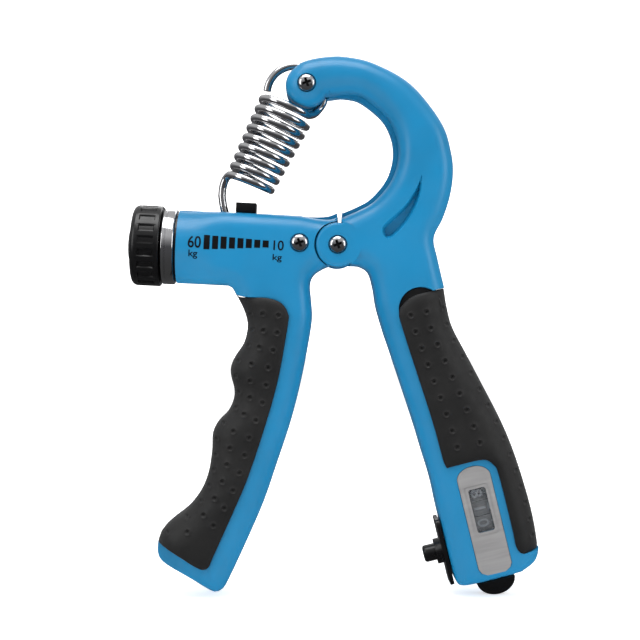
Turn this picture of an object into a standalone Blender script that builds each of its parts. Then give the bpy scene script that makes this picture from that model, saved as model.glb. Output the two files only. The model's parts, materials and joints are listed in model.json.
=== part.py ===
"""Adjustable hand grip strengthener with a squeeze counter, as separate parts.

The tool stands upright: X runs to the right, Z up and the front faces -Y.
All lengths are in metres. Outlines are lists of (x, z) points; a height over
the parting plane is measured towards the front for the front half of a part
and towards the back for its back half.
"""

import math

import bmesh
import bpy
import numpy as np
from mathutils import Matrix, Vector
from mathutils.geometry import delaunay_2d_cdt

MM = 0.001

# ---------------------------------------------------------------- driving sizes

FIT_GAP = 0.0003
CLEARANCE = 0.0004
SLEEVE_CLEARANCE = 0.00015
PARTING_HALF_GAP = 0.00015
WALL = 0.0022
THIN_EDGE = 0.0029
THINNEST = 0.00005
HEIGHT_STEP = 0.000001
WELD = 0.000003
FLAT_ANGLE = math.radians(1.0)

SHELL_HALF_DEPTH = 0.0105
SHELL_EDGE_RADIUS = 0.0052
LEFT_EDGE_RADIUS = 0.0054
FACE_RINGS = (0.0009, 0.0030)
LIP_WIDTH = 0.0014
LIP_RUN_OUT = 0.0090
LIP_HALF_DEPTH = 0.0016
TEARDROP_DEPTH = 0.0014

GRIP_HALF_DEPTH = 0.0122
GRIP_EDGE_RADIUS = 0.0088
GRIP_THICKNESS = 0.0024
GRIP_BLEND = 0.0030
GRIP_EDGE_DROP = 0.0011
GRIP_RINGS = (0.0012, 0.0045)
END_REACH = 0.010
HANDLE_REACH = 0.030

PIVOT = (0.0014, 0.1040)
CHEEK_RADIUS = 0.0065
TONGUE_RADIUS = 0.0062
CHEEK_INNER_DEPTH = 0.0068
TONGUE_HALF_DEPTH = 0.0060
PIVOT_BLOCK_RADIUS = 0.0120
BUSH_RADIUS = 0.0036

ANCHOR = (-0.0077, 0.1513)
NOSE_RADIUS = 0.0063
NOSE_BLOCK_RADIUS = 0.0110
LOOP_CENTRE = (-0.0113, 0.1497)
LOOP_RADIUS = 0.0084
LOOP_SPACE_RADIUS = 0.0103
LOOP_SPACE_NEAR_RADIUS = 0.0067
LOOP_HALF_SPACE = 0.0018

BARREL_FACE = (-0.0596, 0.1044)
BARREL_TILT = math.radians(2.7)
BARREL_RADIUS = 0.0110
BARREL_HALF_HEIGHT = 0.01078
KNUCKLE_ROUND = 0.0010
SQUARE_RADIUS = 0.0085
BARREL_START = 0.0136
ROUND_END = 0.0170
FLAT_START = 0.0290
BARREL_STATIONS = (0.0170, 0.0200, 0.0230, 0.0260, 0.0290, 0.0350, 0.0410)
BARREL_EDGE_ROW = 0.0098
CHANNEL_RADIUS = 0.0082
CHANNEL_START = 0.0159
CHANNEL_END = 0.0455
ROD_SPACE = 0.0026
SLOT_HALF_WIDTH = 0.0026
TROUGH_SHARES = (-0.97, -0.85, -0.65, -0.35, 0.0, 0.35, 0.65, 0.85, 0.97)
SLOT_FLOOR = 0.0070
SLOT_START = 0.0169
SLOT_END = 0.0436

KNOB_RADIUS = 0.01200
POCKET_DEPTH = 0.0005
KNOB_POCKETS = 20
POCKET_START = 0.0024
POCKET_END = 0.0069
POCKET_RAMP = 0.0002
KNOB_LENGTH = 0.0086
CAP_RADIUS = 0.00515
CAP_PROUD = 0.0011
COLLAR_RADIUS = 0.0113
COLLAR_START = 0.0089
COLLAR_END = 0.0129
LEADSCREW_RADIUS = 0.0022
LEADSCREW_END = 0.0450
THREAD_PITCH = 0.0020
THREAD_START = 0.0190
SLIDER_LEFT = 0.0258
SLIDER_RIGHT = 0.0362
POINTER_LEFT = 0.0302
POINTER_RIGHT = 0.0362
POINTER_TOP = 0.0140

BARREL_SCREW = (-0.0098, 0.1045)
BOSS_RADIUS = 0.0042
SCREW_HEAD_RADIUS = 0.0025
HEAD_RECESS = 0.0007
HEAD_HEIGHT = 0.0016
SCREW_RADIUS = 0.0013
SLEEVE_RADIUS = 0.0021

COUNTER_CENTRE = (0.0434, 0.0264)
COUNTER_TILT = math.radians(-13.65)
LABEL_HALF_WIDTH = 0.0049
LABEL_TOP = 0.0130
LABEL_CROWN = 0.0034
LABEL_BOTTOM = -0.0190
LABEL_SEAT = 0.0100
LABEL_TOP_DEPTH = 0.01065
WINDOW_HALF_WIDTH = 0.0026
WINDOW_HALF_LENGTH = 0.0065
WINDOW_FRONT = 0.0098
WINDOW_BACK = 0.0090
CASE_HALF_WIDTH = 0.0092
CASE_HALF_DEPTH = 0.0074
CASE_WALL = 0.0006
CASE_TOP = 0.0099
CASE_BOTTOM = 0.0192
WHEEL_RADIUS = 0.0066
WHEEL_PITCH = 0.0044
SHAFT_RADIUS = 0.0010
PINION_RADIUS = 0.0011
RATCHET_TOP = -0.0096
RATCHET_RADIUS = 0.0044
RESET_TOP = 0.0224
RESET_DROP = 0.00455
RESET_HALF_WIDTH = 0.0058

BUTTON_DROP = 0.0105
BUTTON_RADIUS = 0.00255
BUTTON_TIP = -0.0192
BUTTON_INNER = -0.0078
COLLAR_FACE = -0.0155
NECK_OUTER = -0.0126
NECK_HALF_DEPTH = 0.0040
SPRING_BORE = 0.0016
SPRING_SEAT = 0.0020
SPRING_WEB = -0.0056

SPRING_WIRE_RADIUS = 0.0012
HOOK_PIN = (-0.0284, 0.1095)
COIL_TOP = (-0.0136, 0.1457)
COIL_BOTTOM = (-0.0250, 0.1225)
COIL_TOP_RADIUS = 0.0078
COIL_BOTTOM_RADIUS = 0.0065
COIL_TURNS = 8.34
COIL_STEPS = 12
COIL_FIRST_ANGLE = math.radians(35)
LOOP_SWEEP = ((-2.8, 0.0, 147.3), (-4.2, -0.3, 145.0), (-5.6, -1.6, 143.4))
HOOK_SWEEP = ((-32.0, -0.4, 124.3), (-32.9, 0.0, 121.9))
WIRE_CUT = 0.0001
WIRE_LEAD = 0.0009
HOOK_RADIUS = 0.0029

# ---------------------------------------------------------------- small helpers


def clear_scene():
    for obj in list(bpy.data.objects):
        bpy.data.objects.remove(obj, do_unlink=True)


def material(name, colour, metallic=0.0, roughness=0.5, alpha=1.0):
    found = bpy.data.materials.get(name)
    if found:
        return found
    made = bpy.data.materials.new(name)
    made.use_nodes = True
    shader = made.node_tree.nodes["Principled BSDF"]
    shader.inputs["Base Color"].default_value = (*colour, 1.0)
    shader.inputs["Metallic"].default_value = metallic
    shader.inputs["Roughness"].default_value = roughness
    shader.inputs["Alpha"].default_value = alpha
    return made


def blue_plastic():
    return material("blue_plastic", (0.02, 0.26, 0.53), roughness=0.35)


def grip_rubber():
    return material("grip_rubber", (0.030, 0.030, 0.032), roughness=0.8)


def black_plastic():
    return material("black_plastic", (0.012, 0.012, 0.014), roughness=0.45)


def chrome():
    return material("chrome", (0.75, 0.75, 0.76), metallic=1.0, roughness=0.12)


def steel():
    return material("steel", (0.55, 0.55, 0.57), metallic=1.0, roughness=0.35)


def silver_label():
    return material("silver_label", (0.42, 0.42, 0.42), metallic=0.6, roughness=0.4)


def clear_window():
    return material("clear_window", (0.8, 0.85, 0.88), roughness=0.05, alpha=0.3)


def white_acetal():
    return material("white_acetal", (0.7, 0.7, 0.68), roughness=0.4)


def add_object(name, mesh, look, frame=None, smooth_angle=None):
    obj = bpy.data.objects.new(name, mesh)
    bpy.context.scene.collection.objects.link(obj)
    mesh.materials.clear()
    mesh.materials.append(look)
    if frame is not None:
        obj.location = frame.translation
        obj.rotation_euler = frame.to_euler()
    if smooth_angle is not None:
        mesh.shade_smooth()
        mesh.set_sharp_from_angle(angle=math.radians(smooth_angle))
    return obj


def mesh_from_bmesh(name, work):
    bmesh.ops.recalc_face_normals(work, faces=work.faces)
    mesh = bpy.data.meshes.new(name)
    work.to_mesh(mesh)
    work.free()
    return mesh


def cut_away(obj, cutters):
    """Take the cutters' volume out of an object and delete the cutters."""
    for cutter in cutters:
        step = obj.modifiers.new("cut", "BOOLEAN")
        step.operation = "DIFFERENCE"
        step.solver = "EXACT"
        step.object = cutter
    bake_modifiers(obj)
    for cutter in cutters:
        bpy.data.objects.remove(cutter, do_unlink=True)


def join_solid(obj, others):
    """Fuse other solids into an object and delete them."""
    for other in others:
        step = obj.modifiers.new("join", "BOOLEAN")
        step.operation = "UNION"
        step.solver = "EXACT"
        step.object = other
    bake_modifiers(obj)
    for other in others:
        bpy.data.objects.remove(other, do_unlink=True)


def bake_modifiers(obj):
    bpy.context.view_layer.update()
    graph = bpy.context.evaluated_depsgraph_get()
    baked = bpy.data.meshes.new_from_object(obj.evaluated_get(graph))
    work = bmesh.new()
    work.from_mesh(baked)
    bmesh.ops.remove_doubles(work, verts=work.verts, dist=WELD)
    bmesh.ops.dissolve_degenerate(work, edges=work.edges, dist=WELD)
    work.to_mesh(baked)
    work.free()
    obj.modifiers.clear()
    obj.data = baked


# ---------------------------------------------------------------- local frames


def upright_frame(point, tilt=0.0, depth=0.0):
    """Frame at an (x, z) point whose X axis leans down by the tilt."""
    turn = Matrix.Rotation(tilt, 4, "Y")
    return Matrix.Translation((point[0], depth, point[1])) @ turn


def barrel_frame(along=0.0):
    """X runs along the barrel towards the pivot, Z up across it."""
    start = upright_frame(BARREL_FACE, BARREL_TILT)
    return start @ Matrix.Translation((along, 0.0, 0.0))


def barrel_axis_frame(along=0.0):
    """Z runs along the barrel towards the pivot."""
    return barrel_frame(along) @ Matrix.Rotation(math.pi / 2, 4, "Y")


def counter_frame(across=0.0, down=0.0, depth=0.0):
    """X runs across the handle and Z up along it; down is along the handle."""
    start = upright_frame(COUNTER_CENTRE, COUNTER_TILT)
    return start @ Matrix.Translation((across, depth, -down))


def depth_frame(point, back=False):
    """Z points out of the front face, or out of the back face."""
    turn = Matrix.Rotation(-math.pi / 2 if back else math.pi / 2, 4, "X")
    return Matrix.Translation((point[0], 0.0, point[1])) @ turn


def to_plane(frame, points):
    """Local (x, z) points of a frame as (x, z) points of the whole tool."""
    placed = [frame @ Vector((x, 0.0, z)) for x, z in points]
    return [(p.x, p.z) for p in placed]


# ---------------------------------------------------------------- plane curves


def scaled(points):
    """Points written in millimetres, as metres."""
    return [(x * MM, z * MM) for x, z in points]


def spline(points, step=0.0034):
    """Smooth open curve through every given point."""
    knots = [Vector(p) for p in points]
    before = knots[0] * 2 - knots[1]
    after = knots[-1] * 2 - knots[-2]
    chain = [before] + knots + [after]
    curve = []
    for i in range(1, len(chain) - 2):
        p0, p1, p2, p3 = chain[i - 1:i + 3]
        pieces = max(1, round((p2 - p1).length / step))
        for k in range(pieces):
            t = k / pieces
            curve.append(0.5 * ((2 * p1) + (p2 - p0) * t
                                + (2 * p0 - 5 * p1 + 4 * p2 - p3) * t * t
                                + (3 * p1 - p0 - 3 * p2 + p3) * t * t * t))
    curve.append(knots[-1])
    return [(p.x, p.y) for p in curve]


def arc(centre, radius, start_deg, end_deg, step=0.0021):
    length = abs(math.radians(end_deg - start_deg)) * radius
    pieces = max(2, round(length / step))
    points = []
    for k in range(pieces + 1):
        angle = math.radians(start_deg + (end_deg - start_deg) * k / pieces)
        points.append((centre[0] + radius * math.cos(angle),
                       centre[1] + radius * math.sin(angle)))
    return points


def circle(centre, radius, sides=24):
    turns = [2 * math.pi * k / sides for k in range(sides)]
    return [(centre[0] + radius * math.cos(t), centre[1] + radius * math.sin(t))
            for t in turns]


def rounded_rectangle(half_x, low_z, high_z, radius, step=0.0008):
    inner = half_x - radius
    corners = [((inner, high_z - radius), 90, 0), ((inner, low_z + radius), 0, -90),
               ((-inner, low_z + radius), -90, -180),
               ((-inner, high_z - radius), 180, 90)]
    points = []
    for centre, start, end in corners:
        points += arc(centre, radius, start, end, step)
    return points


def closed(*stretches):
    """Join stretches into one closed outline without doubled points."""
    outline = []
    for stretch in stretches:
        for point in stretch:
            if not outline or math.dist(point, outline[-1]) > 0.0001:
                outline.append(point)
    if math.dist(outline[0], outline[-1]) < 0.0001:
        outline.pop()
    return outline


def distance_to(points, polygon, is_closed=True):
    """Shortest distance of each point to a polygon's edges."""
    points = np.asarray(points, dtype=float).reshape(-1, 1, 2)
    start = np.asarray(polygon, dtype=float)
    end = np.roll(start, -1, axis=0)
    if not is_closed:
        start, end = start[:-1], end[:-1]
    edge = end - start
    t = ((points - start) * edge).sum(-1) / np.maximum((edge * edge).sum(-1), 1e-18)
    nearest = start + np.clip(t, 0.0, 1.0)[..., None] * edge
    return np.sqrt(((points - nearest) ** 2).sum(-1)).min(-1)


def inside(points, polygon):
    """Which points lie inside a closed polygon."""
    points = np.asarray(points, dtype=float)
    x, z = points[:, 0:1], points[:, 1:2]
    start = np.asarray(polygon, dtype=float)
    end = np.roll(start, -1, axis=0)
    crosses = (start[:, 1] > z) != (end[:, 1] > z)
    rise = np.where(end[:, 1] == start[:, 1], 1e-18, end[:, 1] - start[:, 1])
    at = start[:, 0] + (z - start[:, 1]) * (end[:, 0] - start[:, 0]) / rise
    return (crosses & (x < at)).sum(-1) % 2 == 1


def signed_area(polygon):
    pairs = zip(polygon, polygon[1:] + polygon[:1])
    return 0.5 * sum(a[0] * b[1] - b[0] * a[1] for a, b in pairs)


def offset_points(curve, amount, is_closed=True):
    """Move each point of a curve sideways; positive is to its left."""
    count = len(curve)
    moved = []
    for i, point in enumerate(curve):
        back = curve[(i - 1) % count] if is_closed or i else point
        ahead = curve[(i + 1) % count] if is_closed or i < count - 1 else point
        along = Vector((ahead[0] - back[0], ahead[1] - back[1])).normalized()
        moved.append((point[0] - along.y * amount, point[1] + along.x * amount))
    return moved


def past_ends(curve, amount):
    """Open curve with straight extensions at both ends."""
    first = Vector(curve[0]) + (Vector(curve[0]) - Vector(curve[1])).normalized() * amount
    last = Vector(curve[-1]) + (Vector(curve[-1]) - Vector(curve[-2])).normalized() * amount
    return [tuple(first)] + list(curve) + [tuple(last)]


def inset(outline, amount):
    """Closed outline a constant distance inside another."""
    turn = 1.0 if signed_area(outline) > 0 else -1.0
    moved = offset_points(outline, amount * turn)
    far_enough = distance_to(moved, outline) > amount * 0.985
    kept = inside(moved, outline) & far_enough
    return [p for p, keep in zip(moved, kept) if keep]


# ---------------------------------------------------------------- layered solids


def layered_solid(name, outline, base, changes=(), extra_points=(), facing=-1.0,
                  creases=()):
    """Closed solid made of columns of material over a plane outline.

    base gives the column's layers as (low, high) heights at plane points. A
    change is a polygon and a function that alters the layers inside it; the
    changes act in order. Heights run to the front when facing is -1. Creases
    are straight lines that the triangles follow.
    """
    coords = [Vector(p) for p in outline]
    edges = [(i, (i + 1) % len(outline)) for i in range(len(outline))]
    for polygon, _ in changes:
        first = len(coords)
        coords += [Vector(p) for p in polygon]
        edges += [(first + i, first + (i + 1) % len(polygon))
                  for i in range(len(polygon))]
    for crease in creases:
        edges.append((len(coords), len(coords) + 1))
        coords += [Vector(p) for p in crease]
    coords += [Vector(p) for p in extra_points]
    flat, _, faces, _, _, _ = delaunay_2d_cdt(coords, edges, [], 0, 2e-6)
    plane = np.array([(v.x, v.y) for v in flat])
    centres = np.array([plane[list(f)].mean(axis=0) for f in faces])
    within = inside(centres, outline)
    covers = [inside(centres, polygon) for polygon, _ in changes]
    stacks = {}
    kinds = []
    for number in range(len(faces)):
        kind = tuple(i for i, cover in enumerate(covers) if cover[number])
        kinds.append(kind)
        if within[number] and kind not in stacks:
            layers = base(plane)
            for index in kind:
                layers = changes[index][1](plane, layers)
            stacks[kind] = layers
    return stack_columns(name, plane, faces, kinds, within, stacks, facing)


def stack_columns(name, plane, faces, kinds, within, stacks, facing):
    work = bmesh.new()
    corner = {}
    levels = {}

    def vertex(i, height):
        key = (i, round(float(height) / HEIGHT_STEP))
        if key not in corner:
            corner[key] = work.verts.new((plane[i][0], facing * float(height), plane[i][1]))
            levels.setdefault(i, set()).add(key[1])
        return corner[key]

    def add_face(verts):
        unique = list(dict.fromkeys(verts))
        if len(unique) > 2:
            work.faces.new(unique)

    sides = {}
    for number, face in enumerate(faces):
        if not within[number]:
            continue
        layers = [(low, high) for low, high in stacks[kinds[number]]
                  if np.mean((high - low)[list(face)]) > THINNEST]
        for low, high in layers:
            add_face([vertex(i, high[i]) for i in face])
            add_face([vertex(i, low[i]) for i in reversed(face)])
        for a, b in zip(face, tuple(face[1:]) + (face[0],)):
            sides.setdefault((min(a, b), max(a, b)), []).append(layers)

    def wall_column(i, low, high):
        low_key, high_key = round(float(low) / HEIGHT_STEP), round(float(high) / HEIGHT_STEP)
        between = sorted(k for k in levels.get(i, ()) if low_key <= k <= high_key)
        return [corner[(i, k)] for k in between]

    for (a, b), stacked in sides.items():
        ends_a = sorted(h[a] for layers in stacked for pair in layers for h in pair)
        ends_b = sorted(h[b] for layers in stacked for pair in layers for h in pair)
        for n in range(0, len(ends_a), 2):
            left = wall_column(a, ends_a[n], ends_a[n + 1])
            right = wall_column(b, ends_b[n], ends_b[n + 1])
            add_face(left + list(reversed(right)))
    bmesh.ops.recalc_face_normals(work, faces=work.faces)
    bmesh.ops.dissolve_limit(work, angle_limit=FLAT_ANGLE, verts=work.verts,
                             edges=work.edges, use_dissolve_boundaries=False)
    bmesh.ops.triangulate(work, faces=work.faces)
    return mesh_from_bmesh(name, work)


def level(height):
    """Height function that is the same everywhere."""
    return lambda plane: np.full(len(plane), height)


def pillow(outline, half_depth, edge_radius, drop=None, is_closed=True):
    """Height function of a face whose edge is rounded along an outline."""
    fall = edge_radius if drop is None else drop

    def height(plane):
        reach = np.clip(distance_to(plane, outline, is_closed) / edge_radius, 0.0, 1.0)
        return half_depth - fall * (1.0 - np.sqrt(1.0 - (1.0 - reach) ** 2))
    return height


def trough(start, tilt, radius):
    """Height function of a round channel whose axis lies in the parting plane."""
    along = (math.cos(tilt), -math.sin(tilt))

    def height(plane):
        across = ((plane[:, 0] - start[0]) * along[1] - (plane[:, 1] - start[1]) * along[0])
        return np.sqrt(np.maximum(radius ** 2 - across ** 2, 0.0))
    return height


def carve_above(height):
    """Change: nothing stands higher than this."""
    return lambda plane, layers: [(low, np.minimum(high, height(plane)))
                                  for low, high in layers]


def carve_below(height):
    """Change: nothing reaches lower than this."""
    return lambda plane, layers: [(np.maximum(low, height(plane)), high)
                                  for low, high in layers]


def sink(amount):
    """Change: a recess of constant depth in the face."""
    return lambda plane, layers: [(low, high - amount) for low, high in layers]


def hollow(wall):
    """Change: only a skin of this thickness is left under the face."""
    return lambda plane, layers: [(np.maximum(low, high - wall), high)
                                  for low, high in layers]


def fill(floor):
    """Change: solid down to this height."""
    return lambda plane, layers: [(np.full(len(plane), floor), high)
                                  for low, high in layers]


def hole(plane, layers):
    """Change: no material at all."""
    return []


def rings(outline, distances, every=1):
    """Points inside an outline where a rounded face needs them."""
    points = []
    for distance in distances:
        points += inset(outline, distance)[::every]
    return points


# ---------------------------------------------------------------- plain solids


def lathe(name, profile, segments=32):
    """Solid of revolution about Z from (radius, z) points, top to bottom."""
    work = bmesh.new()
    loops = []
    for radius, z in profile:
        if radius < 1e-7:
            loops.append([work.verts.new((0.0, 0.0, z))] * segments)
            continue
        loops.append([work.verts.new((radius * math.cos(2 * math.pi * k / segments),
                                      radius * math.sin(2 * math.pi * k / segments), z))
                      for k in range(segments)])
    ring_shaped = profile[0][0] > 1e-7
    pairs = list(zip(loops, loops[1:]))
    if ring_shaped:
        pairs.append((loops[-1], loops[0]))
    for upper, lower in pairs:
        for k in range(segments):
            n = (k + 1) % segments
            corners = list(dict.fromkeys((upper[k], upper[n], lower[n], lower[k])))
            if len(corners) > 2:
                work.faces.new(corners)
    return mesh_from_bmesh(name, work)


def prism(name, polygon, low_y, high_y):
    """Plane outline in X and Z, extruded along Y."""
    work = bmesh.new()
    front = [work.verts.new((x, low_y, z)) for x, z in polygon]
    back = [work.verts.new((x, high_y, z)) for x, z in polygon]
    work.faces.new(front)
    work.faces.new(list(reversed(back)))
    for i in range(len(polygon)):
        n = (i + 1) % len(polygon)
        work.faces.new((front[i], back[i], back[n], front[n]))
    return mesh_from_bmesh(name, work)


def box(name, low, high):
    polygon = [(low[0], low[2]), (high[0], low[2]), (high[0], high[2]), (low[0], high[2])]
    return prism(name, polygon, low[1], high[1])


def cylinder(name, radius, low_z, high_z, segments=24):
    return lathe(name, [(0.0, high_z), (radius, high_z), (radius, low_z), (0.0, low_z)],
                 segments)


def tube(name, radius, bore, low_z, high_z, segments=24):
    return lathe(name, [(bore, high_z), (radius, high_z), (radius, low_z), (bore, low_z)],
                 segments)


def wire(name, path, radius, sides=8):
    """Round wire along a path of points, closed flat at both ends."""
    work = bmesh.new()
    points = [Vector(p) for p in path]
    tangents = []
    for i in range(len(points)):
        ahead = points[min(i + 1, len(points) - 1)]
        back = points[max(i - 1, 0)]
        tangents.append((ahead - back).normalized())
    across = tangents[0].orthogonal().normalized()
    loops = []
    for i, point in enumerate(points):
        if i:
            across = tangents[i - 1].rotation_difference(tangents[i]) @ across
        other = tangents[i].cross(across)
        loops.append([work.verts.new(point + radius * (math.cos(t) * across
                                                       + math.sin(t) * other))
                      for t in (2 * math.pi * k / sides for k in range(sides))])
    for one, two in zip(loops, loops[1:]):
        for k in range(sides):
            n = (k + 1) % sides
            work.faces.new((one[k], one[n], two[n], two[k]))
    work.faces.new(loops[0])
    work.faces.new(list(reversed(loops[-1])))
    return mesh_from_bmesh(name, work)


def cutter(mesh, frame=None):
    obj = add_object(mesh.name, mesh, black_plastic(), frame)
    obj.hide_render = True
    obj.display_type = "WIRE"
    return obj


# ---------------------------------------------------------------- handle outlines


def arm_opening():
    """Inner edge of the C arm, from the gap at the pivot up to the nose."""
    return spline(scaled([(2.8, 113.7), (7.0, 115.5), (11.2, 117.9), (15.4, 122.7),
                          (17.5, 127.5), (18.1, 132.3), (17.2, 137.1), (14.5, 141.9),
                          (8.5, 146.8), (4.0, 148.1), (-2.1, 148.3)]))


def lip_line(edge, runs_out_at_start=False):
    """Where the round of the face starts beside a thin lip that runs out at one end."""
    end = edge[0] if runs_out_at_start else edge[-1]
    moved = offset_points(edge, -LIP_WIDTH, False)
    line = []
    for point, far in zip(edge, moved):
        share = min(1.0, math.dist(point, end) / LIP_RUN_OUT)
        line.append((point[0] + (far[0] - point[0]) * share,
                     point[1] + (far[1] - point[1]) * share))
    return line


def lip_area(edge, runs_out_at_start=False):
    line = lip_line(edge, runs_out_at_start)
    return closed(edge, list(reversed(line)))


def arm_outside():
    """Outer edge of the C arm, from the nose round to the waist."""
    return spline(scaled([(-11.7, 156.1), (-9.5, 157.9), (-6.4, 159.0), (-1.0, 159.8),
                          (4.0, 159.7), (11.3, 158.1), (20.4, 153.6), (26.5, 148.1),
                          (32.6, 139.4), (35.0, 131.5), (35.6, 125.4), (34.7, 118.7),
                          (32.6, 112.1), (29.9, 106.2), (31.0, 100.0), (33.0, 91.4)]))


def right_grip_outside():
    return spline(scaled([(33.0, 91.4), (33.8, 86.1), (35.5, 79.8), (39.5, 72.1),
                          (43.7, 64.1), (49.4, 53.1), (53.2, 44.3), (56.8, 33.5),
                          (59.4, 23.7), (60.9, 14.9)]))


def right_bottom():
    return spline(scaled([(60.9, 14.9), (60.5, 12.4), (59.3, 10.2), (56.6, 8.1),
                          (54.4, 7.1), (42.8, 4.1), (38.6, 3.4), (37.2, 3.7),
                          (36.4, 4.8)]))


def right_inside():
    """Inner edge of the right handle, from the bottom up to the neck."""
    return spline(scaled([(36.4, 4.8), (35.1, 9.1), (31.2, 25.5), (29.2, 34.4),
                          (26.5, 43.3), (23.8, 52.2), (17.9, 70.0), (14.9, 78.9),
                          (12.9, 86.0), (12.0, 91.5), (10.5, 96.2), (7.6, 98.0),
                          (4.65, 98.37)]))


def core_side(side, first, last):
    """Edge of the hard core under a grip, with the steps at the grip's ends."""
    edge = offset_points(side, -(GRIP_THICKNESS + FIT_GAP), False)
    return scaled([first]) + edge[1:-1] + scaled([last])


def right_outline(with_lip=True):
    """Whole right shell, or its face without the lip along the C opening."""
    opening = arm_opening()
    if not with_lip:
        opening = lip_line(opening)
    return closed(opening,
                  arc(ANCHOR, NOSE_RADIUS, -30, -230),
                  arm_outside(),
                  core_side(right_grip_outside(), (30.3, 90.85), (57.9, 14.05)),
                  right_bottom(),
                  right_inside(),
                  knuckle())


def right_grip_region():
    """Where the right grip covers the shell, open-ended over the outer side."""
    face = spline(scaled([(33.0, 91.4), (28.7, 90.4), (23.4, 88.9), (20.3, 86.3),
                          (19.3, 83.9), (20.6, 78.4), (28.9, 52.7), (32.0, 41.4),
                          (33.2, 38.6)]))
    step = spline(scaled([(33.2, 38.6), (37.4, 39.7), (41.5, 40.7), (44.6, 41.0),
                          (46.9, 39.5), (48.4, 36.6), (52.3, 21.1), (53.5, 15.6),
                          (55.3, 13.6), (57.6, 14.0), (60.9, 14.9)]))
    return face + step[1:]


def barrel_edges():
    """Top edge of the barrel from the ring to the tip beside the pivot."""
    high = BARREL_HALF_HEIGHT
    top = to_plane(barrel_frame(), [(BARREL_START, high), (SLOT_START, high),
                                    (FLAT_START, high), (SLOT_END, high)])
    tip = spline(scaled([(-9.5, 112.75), (-4.0, 112.6), (-1.0, 112.9), (1.3, 113.8)]))
    return top, tip


def left_inside():
    """Inner edge of the left handle, from the tongue down to the corner."""
    return spline(scaled([(-1.2, 97.9), (-3.0, 97.2), (-5.7, 95.3), (-6.8, 92.4),
                          (-6.4, 87.0), (-6.2, 82.5), (-7.1, 76.0), (-9.4, 64.1),
                          (-12.4, 52.2), (-16.3, 40.3), (-20.4, 28.4), (-25.5, 16.6),
                          (-31.1, 4.7), (-33.0, 2.1), (-34.6, 1.5)]))


def left_bottom():
    return spline(scaled([(-34.6, 1.5), (-36.0, 1.9), (-41.5, 4.7), (-47.2, 7.7),
                          (-50.9, 10.3), (-52.1, 12.8), (-52.0, 16.2)]))


def left_grip_outside():
    """Finger side of the left grip, from the bottom up."""
    return spline(scaled([(-52.0, 16.2), (-50.7, 19.6), (-47.8, 22.5), (-43.9, 25.5),
                          (-41.2, 28.4), (-38.5, 32.6), (-36.8, 37.4), (-35.9, 43.3),
                          (-35.6, 48.6), (-33.8, 52.2), (-31.1, 55.0), (-29.5, 58.4),
                          (-29.3, 61.6), (-30.2, 65.2), (-30.3, 68.0), (-29.0, 71.2),
                          (-26.5, 75.0), (-25.4, 79.0), (-25.5, 82.0), (-26.6, 85.4),
                          (-28.6, 89.3)]), 0.0030)


def left_outline(with_lip=True):
    """Whole left shell with its round tongue at the pivot, or its face without the lip."""
    top, tip = barrel_edges()
    if not with_lip:
        tip = lip_line(tip, True)
    low = -BARREL_HALF_HEIGHT
    bottom = to_plane(barrel_frame(), [(0.0285, low), (0.0210, low),
                                       (BARREL_START, low)])
    throat = spline(scaled([(-28.6, 89.3), (-29.8, 91.4)]) + bottom[:1])
    return closed(top, tip, scaled([(1.5, 112.0)]),
                  arc(PIVOT, TONGUE_RADIUS, 88, -112),
                  left_inside(), left_bottom(),
                  core_side(left_grip_outside(), (-49.4, 15.25), (-24.9, 88.5)),
                  throat, bottom)


def left_grip_region():
    return spline(scaled([(-28.6, 89.3), (-26.9, 88.7), (-19.0, 88.3), (-14.9, 86.7),
                          (-13.1, 83.7), (-13.1, 80.8), (-15.9, 65.1), (-19.6, 51.6),
                          (-24.9, 35.7), (-29.0, 26.0), (-35.2, 12.2), (-36.3, 9.7),
                          (-37.9, 8.9), (-40.4, 9.8), (-45.5, 13.0), (-50.3, 15.6),
                          (-52.0, 16.2)]))



# ---------------------------------------------------------------- handle shells


def grip_top(side, face_edge):
    """Height of a grip: full round over its outer side, a low step at its face edge."""
    body = pillow(side, GRIP_HALF_DEPTH, GRIP_EDGE_RADIUS, is_closed=False)

    def height(plane):
        reach = np.clip(distance_to(plane, face_edge, False) / GRIP_BLEND, 0.0, 1.0)
        return body(plane) - GRIP_EDGE_DROP * (1.0 - np.sqrt(1.0 - (1.0 - reach) ** 2))
    return height


def grip_seat(side):
    """Height of the hard core that a grip sits on."""
    body = pillow(side, GRIP_HALF_DEPTH, GRIP_EDGE_RADIUS, is_closed=False)
    return lambda plane: body(plane) - GRIP_THICKNESS - FIT_GAP


def screw_seat(point, bore):
    """Changes for a solid boss with a sunk head seat and a through hole."""
    return [(circle(point, BOSS_RADIUS, 20), fill(PARTING_HALF_GAP)),
            (circle(point, SCREW_HEAD_RADIUS + FIT_GAP, 16), sink(HEAD_RECESS)),
            (circle(point, bore, 16), hole)]


def right_face():
    """Rounded along every edge except round the pivot."""
    edge = [p for p in right_outline(False) if math.dist(p, PIVOT) > SQUARE_RADIUS]
    return pillow(edge, SHELL_HALF_DEPTH, SHELL_EDGE_RADIUS, is_closed=False)


def knuckle():
    """Round end of the pivot cheek."""
    return arc(PIVOT, CHEEK_RADIUS, -60, -280)


def cheek_plate(plane, layers):
    """Change: a flat cheek beside the tongue, with a small round at its end."""
    height = pillow(knuckle(), SHELL_HALF_DEPTH, KNUCKLE_ROUND, is_closed=False)
    return [(np.full(len(plane), CHEEK_INNER_DEPTH), height(plane))]


def teardrop():
    """Outline of the recess on the C arm."""
    return closed(spline(scaled([(26.3, 126.7), (24.9, 121.7), (21.3, 115.8),
                                 (15.9, 110.7), (14.4, 109.0)])),
                  spline(scaled([(14.4, 109.0), (14.6, 106.9), (16.8, 105.8),
                                 (21.9, 111.0), (25.4, 118.2), (26.3, 126.7)])))


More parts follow.
